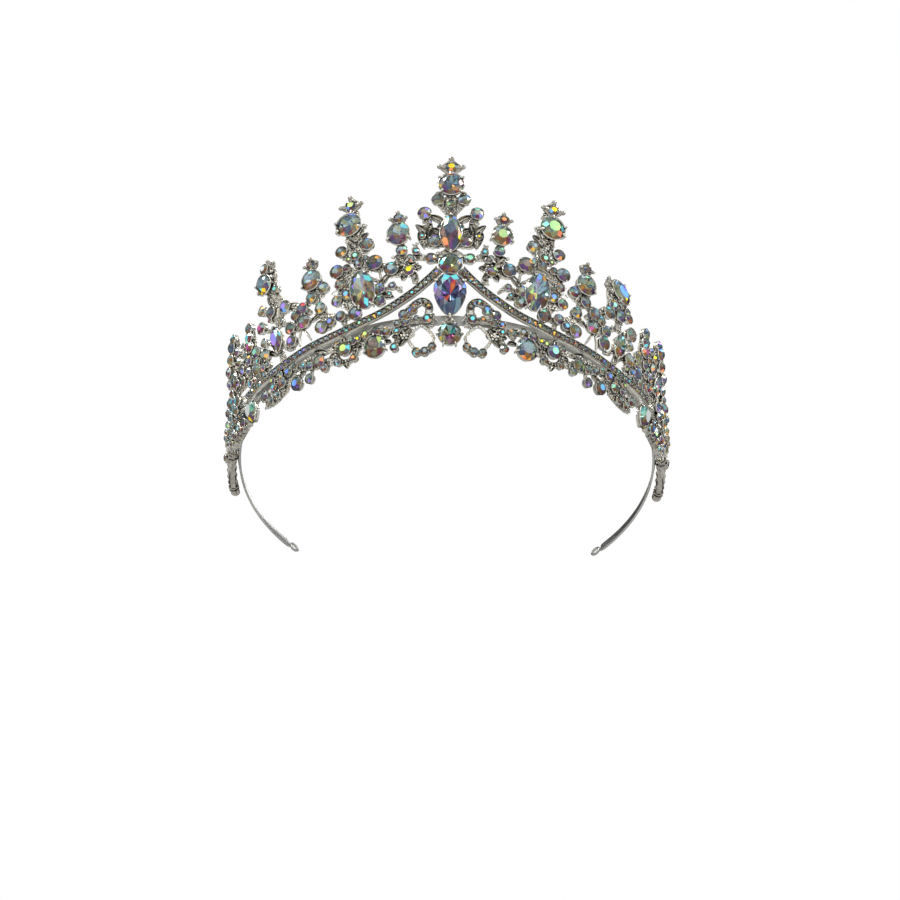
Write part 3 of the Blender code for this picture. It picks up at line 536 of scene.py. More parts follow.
        # Random spark facets get a flash of 0.85, so they glow faintly: painted glints.
        for f in range(1, crown_faces):
            if rng.random() < sparks:
                tints[f] = rng.choice(SPARK)
                flash[f] = 0.85
        for f in range(crown_faces, len(faces)):
            if rng.random() < sparks * 1.5:
                tints[f] = rng.choice(SPARK)
        for group, first, last in ((marks, 0, crown_faces), (deep, crown_faces + 2 * n, len(faces))):
            for colour, angle, share in facets(group):
                x, y = share * math.cos(math.radians(angle)), share * math.sin(math.radians(angle))
                best = min(range(first, last),
                           key=lambda f: (centres[f][0] - x) ** 2 + (centres[f][1] - y) ** 2)
                tints[best] = colour
                # A vivid mark gets full flash, so it glows: a painted glint.
                flash[best] = 0.3 if colour in DULL else 1.0
        slots = [0] * (crown_faces + 2 * n) + [1] * (len(faces) - crown_faces - 2 * n)
        self.add(levels, faces, False, tints, flash, slots)


# ---------------------------------------------------------------- materials
class Tree:
    """Node tree filled by short calls: a socket given as a value is linked, anything else is set."""

    def __init__(self, owner):
        owner.use_nodes = True
        self.nodes = owner.node_tree.nodes
        self.links = owner.node_tree.links

    def join(self, socket, value):
        if isinstance(value, bpy.types.NodeSocket):
            self.links.new(value, socket)
        elif socket.type == "RGBA":
            socket.default_value = tuple(value) + (1.0,)
        else:
            socket.default_value = value

    def put(self, kind, out, setup=(), feeds=(), **values):
        """New node, its properties in setup, its sockets by place in feeds or by name in values."""
        node = self.nodes.new("ShaderNode" + kind)
        for name, value in setup:
            setattr(node, name, value)
        for place, value in enumerate(feeds):
            self.join(node.inputs[place], value)
        for name, value in values.items():
            self.join(node.inputs[name.replace("_", " ")], value)
        return node.outputs[out]

    def mix(self, factor, a, b, blend="MIX"):
        setup = (("data_type", "RGBA"), ("blend_type", blend))
        return self.put("Mix", "Result", setup, Factor=factor, A=a, B=b)

    def span(self, value, start=0.0, end=1.0, low=0.0, high=1.0):
        """Maps start..end to low..high, held at both ends."""
        return self.put("MapRange", "Result", Value=value, From_Min=start, From_Max=end,
                        To_Min=low, To_Max=high)

    def ramp(self, value, *stops):
        """Colour ramp; a stop is its place and a grey level or a colour."""
        out = self.put("ValToRGB", "Color", Fac=value)
        elements = out.node.color_ramp.elements
        while len(elements) < len(stops):
            elements.new(0.5)
        for element, (place, colour) in zip(elements, stops):
            element.position = place
            element.color = ((colour,) * 3 if isinstance(colour, float) else colour) + (1.0,)
        return out

    def bump(self, height, strength, distance):
        return self.put("Bump", "Normal", Height=height, Strength=strength, Distance=distance)

    def attribute(self, name, out):
        return self.put("Attribute", out, (("attribute_name", name),))

    def shade(self, **values):
        shader = self.nodes["Principled BSDF"]
        for name, value in values.items():
            self.join(shader.inputs[name.replace("_", " ")], value)
        return shader.outputs["BSDF"]


def cast_material(name, bright, tarnish, shade, rough, pits):
    """Rhodium-toned casting: pitted skin, worn highlights, warm tarnish and painted shade that darkens the
    recesses found by ambient occlusion.
    """
    mat = bpy.data.materials.new(name)
    tree = Tree(mat)
    place = tree.put("TexCoord", "Object")
    tone = tree.put("TexNoise", "Fac", Vector=place, Scale=620.0, Detail=5.0, Roughness=0.62)
    grain = tree.put("TexNoise", "Fac", Vector=place, Scale=3400.0, Detail=3.0)
    pit = tree.put("TexVoronoi", "Distance", Vector=place, Scale=1500.0)
    painted_recess_shade = tree.put("AmbientOcclusion", "AO", (("samples", 6),), Distance=0.0011)
    skin = tree.mix(tree.ramp(tone, (0.36, 0.0), (0.62, 1.0)), bright, tarnish)
    dent = tree.ramp(pit, (0.05, 0.0), (0.35, 1.0))
    height = tree.put("Math", 0, (("operation", "MULTIPLY_ADD"),), (grain, 0.8, dent))
    # Painted shade: the colour turns to the dark shade colour where ambient occlusion finds a recess.
    tree.shade(Base_Color=tree.mix(tree.ramp(painted_recess_shade, (0.30, 0.0), (0.80, 1.0)), shade, skin), Metallic=1.0,
               Roughness=tree.span(tone, 0.3, 0.7, *rough), Normal=tree.bump(height, pits, 0.00009))
    return mat


def strip_material():
    """Rolled strip: fine lengthwise drawing marks and a soft sheen."""
    mat = bpy.data.materials.new("strip_silver_look")
    tree = Tree(mat)
    place = tree.attribute("flat_place", "Vector")
    stretched = tree.put("Mapping", "Vector", Vector=place, Scale=(0.10, 9.0, 9.0))
    drawn = tree.put("TexNoise", "Fac", Vector=stretched, Scale=1.6, Detail=6.0)
    haze = tree.put("TexNoise", "Fac", Vector=place, Scale=0.35, Detail=4.0)
    silver = tree.ramp(drawn, (0.25, (0.40, 0.40, 0.385)), (0.75, (0.58, 0.58, 0.56)))
    tree.shade(Base_Color=silver, Metallic=1.0,
               Roughness=tree.span(haze, 0.0, 1.0, 0.26, 0.46), Normal=tree.bump(drawn, 0.25, 0.00004))
    return mat


def crystal_material(name, foil):
    """Coated crystal. The crown is clear with vivid coated facets; the foil is a tinted mirror. Facets with
    a high flash also glow faintly: painted glints.
    """
    mat = bpy.data.materials.new(name)
    tree = Tree(mat)
    flash = tree.attribute("facet_flash", "Fac")
    cloud = tree.put("TexNoise", "Fac", Vector=tree.put("TexCoord", "Object"), Scale=420.0, Detail=2.0)
    tint = tree.put("HueSaturation", "Color", Hue=tree.span(cloud, 0.3, 0.7, 0.455, 0.545),
                    Color=tree.attribute("facet_tint", "Color"))
    # Painted glints: facets with a flash above 0.6 glow in their own tint.
    tree.shade(Emission_Color=tint, Emission_Strength=tree.span(flash, 0.6, 1.0, 0.0, 0.24),
               Roughness=tree.span(flash, 0.0, 1.0, *((0.08, 0.40) if foil else (0.03, 0.42))))
    if foil:
        tree.shade(Base_Color=tint, Metallic=1.0)
    else:
        coated = tree.mix(tree.span(flash, 0.0, 0.45), (0.90, 0.93, 0.94), tint)
        tree.shade(Base_Color=coated, Metallic=flash, Transmission_Weight=1.0, IOR=1.56)
    return mat


CAST = cast_material("cast_silver_look", (0.74, 0.77, 0.74), (0.77, 0.71, 0.59), (0.10, 0.09, 0.07),
                     (0.05, 0.20), 0.8)
# A darker copy of the cast silver: painted shade, for the dark reflections of the end bars and the dark
# settings of the tip stars.
SHADED_CAST = cast_material("shaded_silver_look", (0.54, 0.53, 0.49), (0.40, 0.37, 0.31), (0.05, 0.04, 0.035),
                     (0.03, 0.12), 0.25)
STRIP = strip_material()
CROWN = crystal_material("ab_crystal_crown", False)
FOIL = crystal_material("ab_crystal_foil", True)


# ---------------------------------------------------------------- pieces
def piece(name, build, materials, slot, nodes=()):
    """Rolls a build onto the crown and hands it to the frame."""
    mesh = bpy.data.meshes.new(name)
    mesh.from_pydata([roll(p) for p in build.points], [], build.faces)
    for mat in materials:
        mesh.materials.append(mat)
    if slot in ("ab_crystal", "chip_crystal"):
        mesh.attributes.new("facet_tint", "FLOAT_COLOR", "FACE")
        mesh.attributes.new("facet_flash", "FLOAT", "FACE")
        shades = [channel for colour in build.tints for channel in TINTS[colour] + (1.0,)]
        mesh.attributes["facet_tint"].data.foreach_set("color", shades)
        mesh.attributes["facet_flash"].data.foreach_set("value", build.flash)
    else:
        mesh.attributes.new("flat_place", "FLOAT_VECTOR", "POINT")
        mesh.attributes["flat_place"].data.foreach_set("vector", [c for p in build.points for c in p])
    mesh.polygons.foreach_set("use_smooth", build.smooth)
    mesh.polygons.foreach_set("material_index", build.slots)
    mesh.validate()
    mesh.update()
    if slot not in ("ab_crystal", "chip_crystal"):
        mesh.set_sharp_from_angle(angle=math.radians(50.0))
    obj = bpy.data.objects.new(name, mesh)
    bpy.context.scene.collection.objects.link(obj)
    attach(obj, "root")
    if nodes:
        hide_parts(*nodes)
    return obj


def metal_piece(name, build, *nodes, look=None):
    # The second slot of a casting is the darker copy of the cast silver: painted shade.
    return piece(name, build, [look or CAST, SHADED_CAST], "cast_silver", nodes)


def gem_piece(name, build, slot, *nodes):
    return piece(name, build, [CROWN, FOIL], slot, nodes)


class Casting:
    """A casting and the stones set in it; side is 0 on the centre line."""

    def __init__(self, name, side=0, shift=(0.0, 0.0)):
        self.suffix = ("", "_right", "_left")[side]
        self.name = name + self.suffix
        self.metal = Build(side or 1, shift)
        self.gems = Build(side or 1, shift)

    def side(self, side):
        """Goes on drawing on the given side."""
        self.metal.side = side
        self.gems.side = side

    def cup(self, u, v, r, marks="", claws=(30, 150, 270), patch=0.7, top=None):
        """Small round stone in its collet."""
        top = 1.9 + 0.1 * (r - 1.5) if top is None else top
        girdle = Outline("round", u, v, r - 0.24, (r - 0.24) * 1.10)
        self.metal.collet(girdle, top, 0.26, 18)
        for angle in claws if r > 1.0 else ():
            x, y = girdle.at(math.radians(angle), 1.0, 0.02)
            self.metal.ball(x, y, top + 0.14, 0.20 + 0.04 * r, 7, 5)
        self.gems.single(girdle, 8 if r > 1.3 else 7, top + 0.02, 0.36 * r, 0.42 * r, 0.50, patch, marks)

    def cups(self, *rows, **look):
        for row in rows:
            self.cup(*row, **look)

    def chips(self, spots, r, w):
        """Row of pave chips with a pair of beads between neighbours."""
        for k, (p, along) in enumerate(spots):
            across = Vector((-along.y, along.x, 0.0))
            self.gems.single(Outline("round", p.x, p.y, r, r), 7, w, 0.42 * r, 0.55 * r, 0.5, 0.55)
            if k:
                q = (p + spots[k - 1][0]) * 0.5
                for sign in (-1.0, 1.0):
                    self.metal.ball(q.x + across.x * r * 0.86 * sign, q.y + across.y * r * 0.86 * sign,
                                    w + 0.06, 0.22, 6, 4)

    def crystal(self, node, build):
        """Hands over a stone that is a piece of its own."""
        node += self.suffix
        gem_piece(node.replace("_stone", "_crystal"), build, "ab_crystal", node)

    def stone(self, node, outline, mains=8, top=2.2, claws=(), marks="", deep="", quiet=UPPER, table=0.56,
              size=0.42, sparks=0.015, lower=LOWER):
        """Large stone as a piece of its own, in a collet and claws that belong to the casting."""
        self.metal.collet(outline, top, 0.36, 32)
        for angle in claws:
            self.metal.claw(outline, angle, top, size)
        build = Build(self.metal.side, self.metal.shift)
        width = min(outline.wide, outline.tall)
        build.gem(outline, mains, top + 0.05, 0.42 * width, min(top - 0.4, 0.62 * width), table, quiet,
                  sparks, marks, deep, lower)
        self.crystal(node, build)

    def tip(self, node, u, v, r, reach, marks="", tip=0.7):
        """Small stone of a spire's tip, in a star claw."""
        self.metal.star(u, v, r + 0.15, reach, 4, 90.0, 1.95, tip)
        build = Build(self.metal.side, self.metal.shift)
        build.single(Outline("round", u, v, r, r), 8, 2.0, 0.6, 0.9, 0.55, 1.0, marks)
        self.crystal(node, build)

    def done(self, look=None):
        metal_piece(self.name + "_casting", self.metal, self.name, look=look)
        if self.gems.faces:
            gem_piece(self.name + "_small_stones", self.gems, "chip_crystal")


# ---------------------------------------------------------------- headband
def headband():
    build = Build()
    half_t, half_h, ease = BAND_THICKNESS / 2, BAND_HEIGHT / 2, 0.14
    section = []
    for cx, cy, start in ((1, 1, 0), (-1, 1, 90), (-1, -1, 180), (1, -1, 270)):
        for turn in (0, 45, 90):
            a = math.radians(start + turn)
            section.append((cx * (half_t - ease) + ease * math.cos(a),
                            cy * (half_h - ease) + ease * math.sin(a)))
    rings = []
    steps = 196
    for i in range(steps + 1):
        u = -BAND_END + 2.0 * BAND_END * i / steps
        slope = 1.0 if i in (0, steps) else 0.0
        rings.append([(u, band_height(u) + h * (1.0 - 0.12 * slope), BAND_OFFSET + t * (1.0 - 0.4 * slope))
                      for t, h in section])
    build.skin(rings)
    piece("headband_strip", build, [STRIP], "strip_silver", ["headband"])
    for label, side in SIDES:
        loop = Build(side)
        u0, v0 = BAND_END + 2.9, band_height(BAND_END)
        ring = [Vector((u0 + 2.0 * math.cos(a), v0 + 1.24 * math.sin(a), BAND_OFFSET))
                for a in (TURN * k / 36 for k in range(36))]
        loop.tube(ring, 0.5, 10, 1.0, True)
        piece("end_loop_wire_" + label, loop, [STRIP], "strip_silver", ["end_loop_" + label])


# ---------------------------------------------------------------- centre
def centre_spire():
    cast = Casting("centre_spire")
    m = cast.metal
    cast.tip("crown_tip_stone", 0, 67, 1.55, 2.95, "yellow, orange 280", tip=0.78)
    m.ground(((0, 62.8), (0, 65.6)), 4)
    cast.stone("crown_round_stone", Outline("round", 0, 60.4, 3.2, 3.85), 8, 2.4, claws=(222, 318, 35, 145),
        marks="violet 75, slate 140, brown 320",
        deep="orange 305 0.55, gold 290, brown 200 0.6, blue 60 0.7, gold 330, "
        "slate 120 0.5, slate 220 0.4")
    m.ground(((0, 48.4), (0, 52), (0, 57.2)), 4)
    cast.cups((0, 53.4, 1.35, "lime 200"), (0, 50.8, 1.15, "plum"))
    cast.stone("centre_marquise_stone", Outline("marquise", 0, 42.7, 2.8, 6.6), 8, 2,
        marks="cyan 115, blue 66 0.82, haze, orange 205 0.75, yellow 352 0.85, orange 235 0.72",
        deep="magenta 270 0.5, slate 90 0.4", claws=(90, 270))
    cast.stone("centre_round_stone", Outline("round", 0, 31.9, 3.1, 3.6), 8, 2,
        marks="cyan 172 0.78, blue 12 0.85, olive", deep="haze 270 0.6, violet 250, teal 140 0.5",
        claws=(35, 145))
    cast.stone("centre_pear_stone", Outline("pear", 0, 20.9, 5.15, 7.25), 10, 2.5,
        marks="cyan 108 0.78, cyan 78 0.74, teal 120 0.5, blue 150 0.85, "
        "violet 178 0.9, blue 35 0.9, plum 200, deep 330",
        deep="orange 272 0.75, violet 200 0.7, blue 20 0.6, plum 330 0.6, "
        "deep 300 0.3, deep 140 0.4, teal 60 0.6, red 80 0.3, red 60 0.2, red 205 0.25, red 235 0.3",
        quiet=("slate", "haze", "deep", "plum", "deep"), claws=(140, 40, 270), size=0.5, sparks=0,
        lower=("deep", "slate", "plum", "deep"))
    m.grounds((2.8, (0, 35.2), (0, 37.8)), (2.4, (0, 27.6), (0, 29.2)), (3, (0, 11.2), (0, 13.4)))
    cast.stone("pendant_stone", Outline("round", 0, 7.8, 3.3, 3.75), 8, 2,
        marks="teal 100 0.5, mint 140 0.7, blue 60 0.75, maroon 265 0.75",
        deep="olive 200 0.5, magenta 285 0.5, teal 45 0.5", claws=(0, 60, 120, 180, 240, 300), size=0.34)
    for half in (1, -1):
        cast.side(half)
        right = half > 0
        cast.cups((3.5, 55, 1.8, "blue 60, plum 220" if right else "olive 60, plum 220", (0, 90, 250)),
            (7, 50.2, 2, "mint 80, violet 300" if right else "violet 80, violet 300", (200, 320)),
            (4.2, 40, 1.9, "teal 110" if right else "violet 110"),
            (7.7, 41.9, 0.95, "yellow" if right else "cyan"), (5.7, 47.2, 0.85), (2.9, 45, 0.9, "teal"),
            (5.4, 33.9, 1.7, "mint" if right else "plum", (45, 225, 315)), (9.4, 36.6, 1.2, "cyan"),
            (10.6, 33.9, 1.15))
        m.vine(((2.6, 57.4), (3.6, 57.9), (4.2, 56.8)), 0.7, 1.6)
        m.grounds((1.8, (1.2, 50.6), (2.6, 53.2), (3.4, 54.4)),
            (2.2, (1.6, 38.6), (4.2, 41), (6, 44.6), (7, 48.6)), (2.4, (2.6, 38.8), (5.4, 39), (8.2, 41.4)))
        m.leaf(1.8, 46.6, 4.9, 2.5, 52)
        m.leaf(1.5, 42.4, 4.7, 2.4, 60)
        m.leaf(5.6, 40.6, 7.2, 2.7, 34, 0.4)
        m.leaf(8.3, 44, 6.6, 2.9, 190, -0.3)
        m.leaf(6.2, 42.6, 4, 1.8, -16)
        m.grounds((1.7, (0.6, 37.8), (2.6, 35.8), (5.4, 34.4)),
            (1.9, (2.8, 33.2), (6.4, 34.2), (9.2, 36.2), (9.8, 39.4)),
            (2.4, (6.8, 34.6), (9.2, 35), (11.6, 34.2)))
        m.vine(((3.2, 25.4), (4.6, 26.6), (5, 28)), 0.7, 1.3)
        m.vine(((3.4, 12.6), (5, 14.2), (5.6, 16.8)), 0.6, 1.2)
    cast.side(1)
    cast.done()


# ---------------------------------------------------------------- side spires
def spire_a(side):
    cast = Casting("spire_a", side)
    m = cast.metal
    right = side > 0
    cast.tip("spire_a_tip_stone", 14.2, 49, 1.25, 2.1, "orange" if right else "cyan 20, plum 200", tip=0.62)
    cast.stone("spire_a_round_stone", Outline("round", 14, 43.3, 2.85, 3.4) if right else
        Outline("round", 14.2, 43.5, 2.95, 3.9), 8, 2.1, table=0.46,
        marks="apple, violet 325, orange 285" if right else
        "cyan 42 0.75, mint 60, cyan 30, plum 270 0.7, maroon 300 0.75",
        deep="plum 250 0.6, maroon 280 0.6, umber 200 0.4, olive 100 0.4", claws=(205, 335), size=0.4)
    m.grounds((2.8, (14.1, 46.2), (14.1, 48)), (2.4, (13.2, 34.4), (13.5, 37.2), (14, 41.2)))
    cast.cups((13.4, 37.6, 1.7, "mint 60" if right else "gold 270, mint 20", (150, 30)),
        (11.5, 30.2, 1.8, "plum, lime 30" if right else "yellow, lime 30", (90, 210, 330)),
        (16.5, 31.4, 2.15, "cyan 70, maroon 270", (60, 180, 300)), (11.2, 34.8, 0.95, "mist"))
    for i in range(5):
        a = math.radians(90 + 72 * i)
        x, y = 11.5 + 2.3 * math.cos(a), 30.2 + 2.3 * math.sin(a)
        m.leaf(x - 0.8 * math.cos(a), y - 0.8 * math.sin(a), 2.3, 2, 90 - math.degrees(a))
        b = a + math.pi / 5
        m.ball(11.5 + 2.1 * math.cos(b), 30.2 + 2.1 * math.sin(b), 1.5, 0.45)
    m.ground(((9.2, 31.2), (10.8, 32.6), (13.4, 33.2), (15.6, 34.8)), 2.3)
    m.leaf(11.4, 32.6, 4.6, 2.4, -34)
    m.leaf(12.8, 33.4, 3.8, 1.8, 42)
    m.grounds((2, (11, 30), (9.9, 28.2), (10, 25.8)), (2.2, (12.6, 29.4), (14.6, 29.6), (17.6, 29.8)))
    m.vine(((17, 30), (18, 29.2), (18.9, 28.6)), 0.9, 1.3)
    m.ball(15.9, 35.6, 1.1, 0.62)
    cast.done()


def spire_b(side):
    cast = Casting("spire_b", side)
    m = cast.metal
    right = side > 0
    cast.tip("spire_b_tip_stone", 27.9 if right else 27.1, 56.8 if right else 57, 1.5, 2.85,
        "yellow, blue 250, maroon 330" if right else "lime, blue 230", tip=0.74)
    m.ground(((26.9, 52.6), (27.1, 55.6)), 3.9)
    cast.stone("spire_b_round_stone", Outline("round", 28, 50, 3.45, 3.9), 8, 2.4, table=0.48,
        marks="apple, mist 150 0.75, mint 180 0.6, orange 320 0.75, teal 250 0.6" if right else
        "violet 72 0.75, blue 55, orange 232 0.85, mist 150 0.7, maroon 300 0.75, gold 325 0.85",
        deep="teal 220 0.6, deep 270 0.5" if right else
        "maroon 290 0.5, maroon 320 0.6, gold 300 0.9, plum 270 0.4", claws=(205, 335, 20), size=0.48)
    m.knot(24, 48.6, 1.2)
    m.grounds((3.2, (27, 46.6), (26.5, 42), (26, 37.6), (26.2, 34.6)),
        (1.5, (28.8, 46.4), (28.8, 43.6), (28.2, 40)), (1.6, (24.4, 48), (25.2, 45.4), (25.4, 43)))
    m.leaf(26, 42.6, 4.8, 2, -42)
    m.leaf(28.2, 44.6, 4.2, 2, 206)
    cast.cups((26.6, 38.4, 1.5, "mint", (90, 270)), (26, 35.4, 1.4, "blue 100", (90, 270)),
        (30.8, 41.2, 1.85, "orange 290", (20, 250)),
        (23, 41.6, 1.95, "blue 80, deep 270" if not right else "gold 250", (160, 300)),
        (21.2, 34.6, 2.4, "gold 50, umber", (20, 140, 260)),
        (32.6, 34.6, 2.2, "cyan 80, maroon 300" if right else "blue 80, maroon 300", (60, 180, 300)),
        (29.5, 34.9, 1.3, "", (90, 270)), (23.6, 36.6, 1), (28.6, 37.6, 0.95, "lime"))
    m.grounds((2.2, (27.2, 37), (29.4, 38.6), (30.6, 40.4)), (2.4, (26, 37.6), (24.4, 39.2), (23.2, 40.8)),
        (3.4, (26.6, 34.8), (24, 34), (21, 33.4), (19, 32.6)), (3, (27, 34.4), (29.8, 33.4), (32.6, 33.6)))
    m.vine(((20.6, 32.6), (19.9, 30.6), (19.8, 27.4)), 0.8, 1.3)
    m.ground(((24.2, 30.8), (22.4, 29.6), (20.2, 28)), 1.3)
    # On the right oval the white facet is a painted highlight.
    cast.stone("spire_b_oval_stone", Outline("pointed_oval", 25, 25.6, 3.5, 6.9, 7), 10, 2.4,
        marks="violet 100 0.5, white 280, teal 250, blue 95 0.85" if right else
        "cyan 48 0.62, cyan 30 0.72, blue 130, cyan 300, violet 165 0.75",
        deep="orange 210 0.35, yellow 240 0.4, haze 90 0.4, teal 290 0.5", claws=(55, 125, 235, 305),
        size=0.42)
    m.ground(((26.4, 31.6), (26.4, 34.6)), 3)
    cast.cups((20.2, 25, 1.85, "blue 60", (0, 120, 240)),
        (20.2, 20.9, 1.8, "mint 80, maroon 270", (0, 120, 240)), (17.2, 22.6, 0.9, "cyan"),
        (16.4, 25.4, 1.2, "mist"))
    m.grounds((2.2, (19.9, 27.6), (20.4, 24.6), (20.6, 20.6)), (1.7, (20.6, 24), (18, 25.2), (16, 26.6)),
        (1.4, (16, 25.6), (14.8, 24.6), (13.8, 23.2)))
    m.leaf(20.4, 22.8, 4.6, 2.3, -104)
    m.leaf(19.8, 26.6, 4.6, 2, -38)
    m.grounds((3.2, (28, 33), (31.6, 31.6), (33.4, 30)),
        (3, (29.6, 31), (30.8, 27), (30.2, 22.6), (28.4, 19.6)), (2, (32.2, 29), (32, 26.6)))
    cast.cups((31.9, 29.8, 1.6, "orange 120", (0, 120, 240)), (33.3, 24.3, 1.7, "", (0, 120, 240)),
        (30, 25.6, 1.7, "blue, gold 280", (0, 120, 240)), (30.2, 28.6, 1.1),
        (27.8, 18.4, 2.15, "violet 350, maroon 180" if not right else "mint 120, umber 300"),
        (32.4, 18.7, 1.7, "blue 90", (0, 120, 240)))
    m.curl(33.6, 27.2, 1.2, 20, 1, 1.3, 0.3)
    m.curl(31.4, 22.2, 1.1, 200, -1, 1.3, 0.28)
    m.grounds((2.4, (28.6, 18.6), (31.4, 18.2), (34.2, 19.2)), (1.8, (27.6, 16.8), (27.3, 15.9)),
        (2.2, (32, 17.4), (31.6, 15.6)))
    cast.done()


def spire_c(side):
    right = side > 0
    cast = Casting("spire_c", side, (0.2, 0.3) if right else (0.9, 0.9))
    m = cast.metal
    cast.tip("spire_c_tip_stone", 39.8, 39.6, 1.3, 2.1, "gold 100, umber", tip=0.6)
    cast.stone("spire_c_round_stone", Outline("round", 40.1, 34.1, 3.05, 3.4), 8, 2.1,
        marks="mint 110 0.75, umber 300 0.75" if right else "cyan 60 0.7, umber 270 0.7",
        deep="orange 240 0.6, brown 280 0.5, maroon 300 0.6", claws=(205, 335), size=0.4)
    m.grounds((2.8, (39.9, 36.6), (39.9, 38.6)), (2.7, (40, 26.8), (40.1, 31.2)))
    cast.cups((36.4, 29.8, 1.85, "blue 100", (90, 210, 330)), (40.6, 28, 1.8, "", (0, 180)),
        (44.2, 25.4, 2.05, "cyan 60, maroon 260" if right else "red 60, maroon 260"),
        (37.9, 23, 1.85, "cyan 100, gold 280", (0, 120, 240)),
        (38.2, 16.5, 2.1, "violet 300", (0, 120, 240)), (34.9, 17, 1.5, "blue"),
        (44, 20.8, 2.3, "magenta 250", (0, 120, 240)), (46.9, 24.3, 1.6, "cyan 120", (0, 120, 240)),
        (42.2, 23.6, 1))
    m.grounds((2.4, (36.6, 28.6), (38.6, 27.8), (40.6, 27.8)),
        (2.6, (40.4, 28.2), (42.4, 27.2), (45.2, 26.8), (48.6, 28.2)),
        (2.2, (39.8, 27), (38.6, 25), (37.8, 22.6)), (2.6, (37.8, 22), (36.4, 19.8), (34, 19)))
    m.leaf(38.4, 21.6, 3.8, 2, 120)
    m.grounds((2.6, (38, 20.6), (36.6, 18.2), (36.4, 15)), (3.6, (44.2, 25), (45.2, 22), (45.8, 18.6)),
        (1.8, (47.2, 25.2), (47.4, 21.6), (46.8, 18.8)))
    m.vine(((45, 18.8), (43.8, 16.6), (42.6, 14)), 0.8, 1.2)
    m.vine(((46, 18.6), (46.8, 16.4), (47, 13.6)), 0.8, 1.2)
    m.knot(41.6, 31, 0.9)
    cast.done()


def spire_d(side):
    right = side > 0
    cast = Casting("spire_d", side)
    m = cast.metal
    if right:
        tip, star, oval = (50.5, 40), (49.4, 39.2), Outline("oval", 53, 38.3, 2.5, 4.1, -50)
        neck = ((53.8, 31), (52.8, 33.6), (52.4, 36.4))
        shoulder = ((50, 39.6), (49.4, 36.4), (50.6, 33.2))
        cups = ((50.9, 32.4, 1.7, "gold 100, mint", (90, 270)), (58, 31.4, 1.6, "umber", (0, 120)),
            (49.7, 29, 2.1, "cyan 120, mist 60", (60, 180, 300)), (54.4, 30.2, 1.9, "blue 90", (0, 180)),
            (60, 26.6, 2.3, "maroon 260"), (60.2, 22.2, 1.5, "blue 90", (0, 180)),
            (49.4, 21.9, 1.8, "blue 90"), (49.2, 17.4, 2.2, "cyan 100, umber"), (52.4, 24.4, 0.9))
    else:
        tip, star, oval = (57.6, 48.4), (56.2, 47.9), Outline("oval", 58.4, 42.9, 2.8, 3.75, 11)
        neck = ((55, 27), (55.8, 32), (57, 38.6))
        shoulder = ((55, 47), (55, 43), (55.4, 39.6))
        cups = ((54.2, 38.6, 1.35, "cyan", (90, 270)), (60.9, 34.2, 1.75, "orange 20", (0, 120)),
            (51.3, 30.3, 2.1, "violet, blue 270", (60, 180, 300)), (57.2, 31.4, 1.9, "mist 90", (0, 180)),
            (58, 29, 0.9, "magenta"), (62.2, 28.4, 1.95, "mint 90, magenta"),
            (61.8, 22.6, 1.5, "", (0, 180)), (50.2, 21.7, 1.9, "orange 240"), (50.2, 17, 2, "violet"),
            (53.6, 26.4, 0.9))
    m.star(star[0], star[1], 1.5, 2.45, 5, 60 if right else 96, 1.7, 0.62)
    m.collet(Outline("round", tip[0], tip[1], 1.45, 1.6), 2.1, 0.26, 18)
    build = Build(side)
    # On the left tip the pale table is a painted highlight.
    build.single(Outline("round", tip[0], tip[1], 1.45, 1.6), 8, 2.15, 0.6, 0.9, 0.55, 1,
        "blue" if right else "pale, olive 30")
    cast.crystal("spire_d_tip_stone", build)
    cast.stone("spire_d_oval_stone", oval, 8, 2.3,
        marks="blue 120 0.6, blue 100 0.2, yellow 320 0.85, red 60 0.85" if right else
        "slate, mist 170 0.7, yellow 250 0.85, yellow 285 0.85, yellow 215 0.85",
        deep="gold 280 0.6, teal 180 0.5, slate 320 0.6", claws=(205, 335, 20), size=0.4)
    cast.cups(*cups)
    m.ground(neck, 4.6)
    m.ground((neck[-1], (oval.u - 2.6, oval.v - 5.6), (51.6, 31.2)), 2.8)
    m.ground(shoulder, 2)
    m.ground((neck[-1], (oval.u, oval.v - 2)), 3)
    if right:
        m.ground(((50, 33.2), (53.4, 33.6), (57, 34.6)), 3.4)
        cast.cups((54.6, 34.6, 1.2, "olive"), (56.8, 33.4, 1.2), (52.6, 34.8, 1, "mint"))
    m.leaf(56.4, 30.8 if right else 34.2, 4.4, 2.2, 22 if right else 18)
    m.grounds((2.4, (54.6, 29), (52.4, 29.4), (49.6, 30.2), (47, 28.8)),
        (1.2, (55, 30.2), (57.6, 31.4), (59 if right else 60.4, 33)),
        (3.2, (54.6, 24.8), (54.9, 27), (55.2, 31)), (1.6, (55.4, 25.2), (58.2, 25.4), (61, 27)))
    dm, dv = (0.2, 0) if right else (0.9, 0.8)
    cast.stone("spire_d_marquise_stone", Outline("marquise", 55.4 + dm, 19.8 + dv, 2.3, 4.5, 4), 8, 2,
        marks="cyan 90 0.45, mist 100 0.75, magenta 250 0.5" if right else
        "violet, cyan 20, mist 280, yellow 200 0.85", claws=(90, 270), size=0.36)
    m.grounds((1.8, (54.6, 26), (52.4, 24.6), (50.4, 23.4), (50, 18)),
        (1.6, (54, 17.6), (52.2, 15.4), (50, 15)), (2.4, (55.8, 16.2), (55.2, 14), (54.4, 12.4)),
        (1.3, (57.4, 21.4), (59.2, 21.4), (61.4, 22.2)))
    m.leaf(57, 15.6, 4.4, 2, 50)
    cast.done()


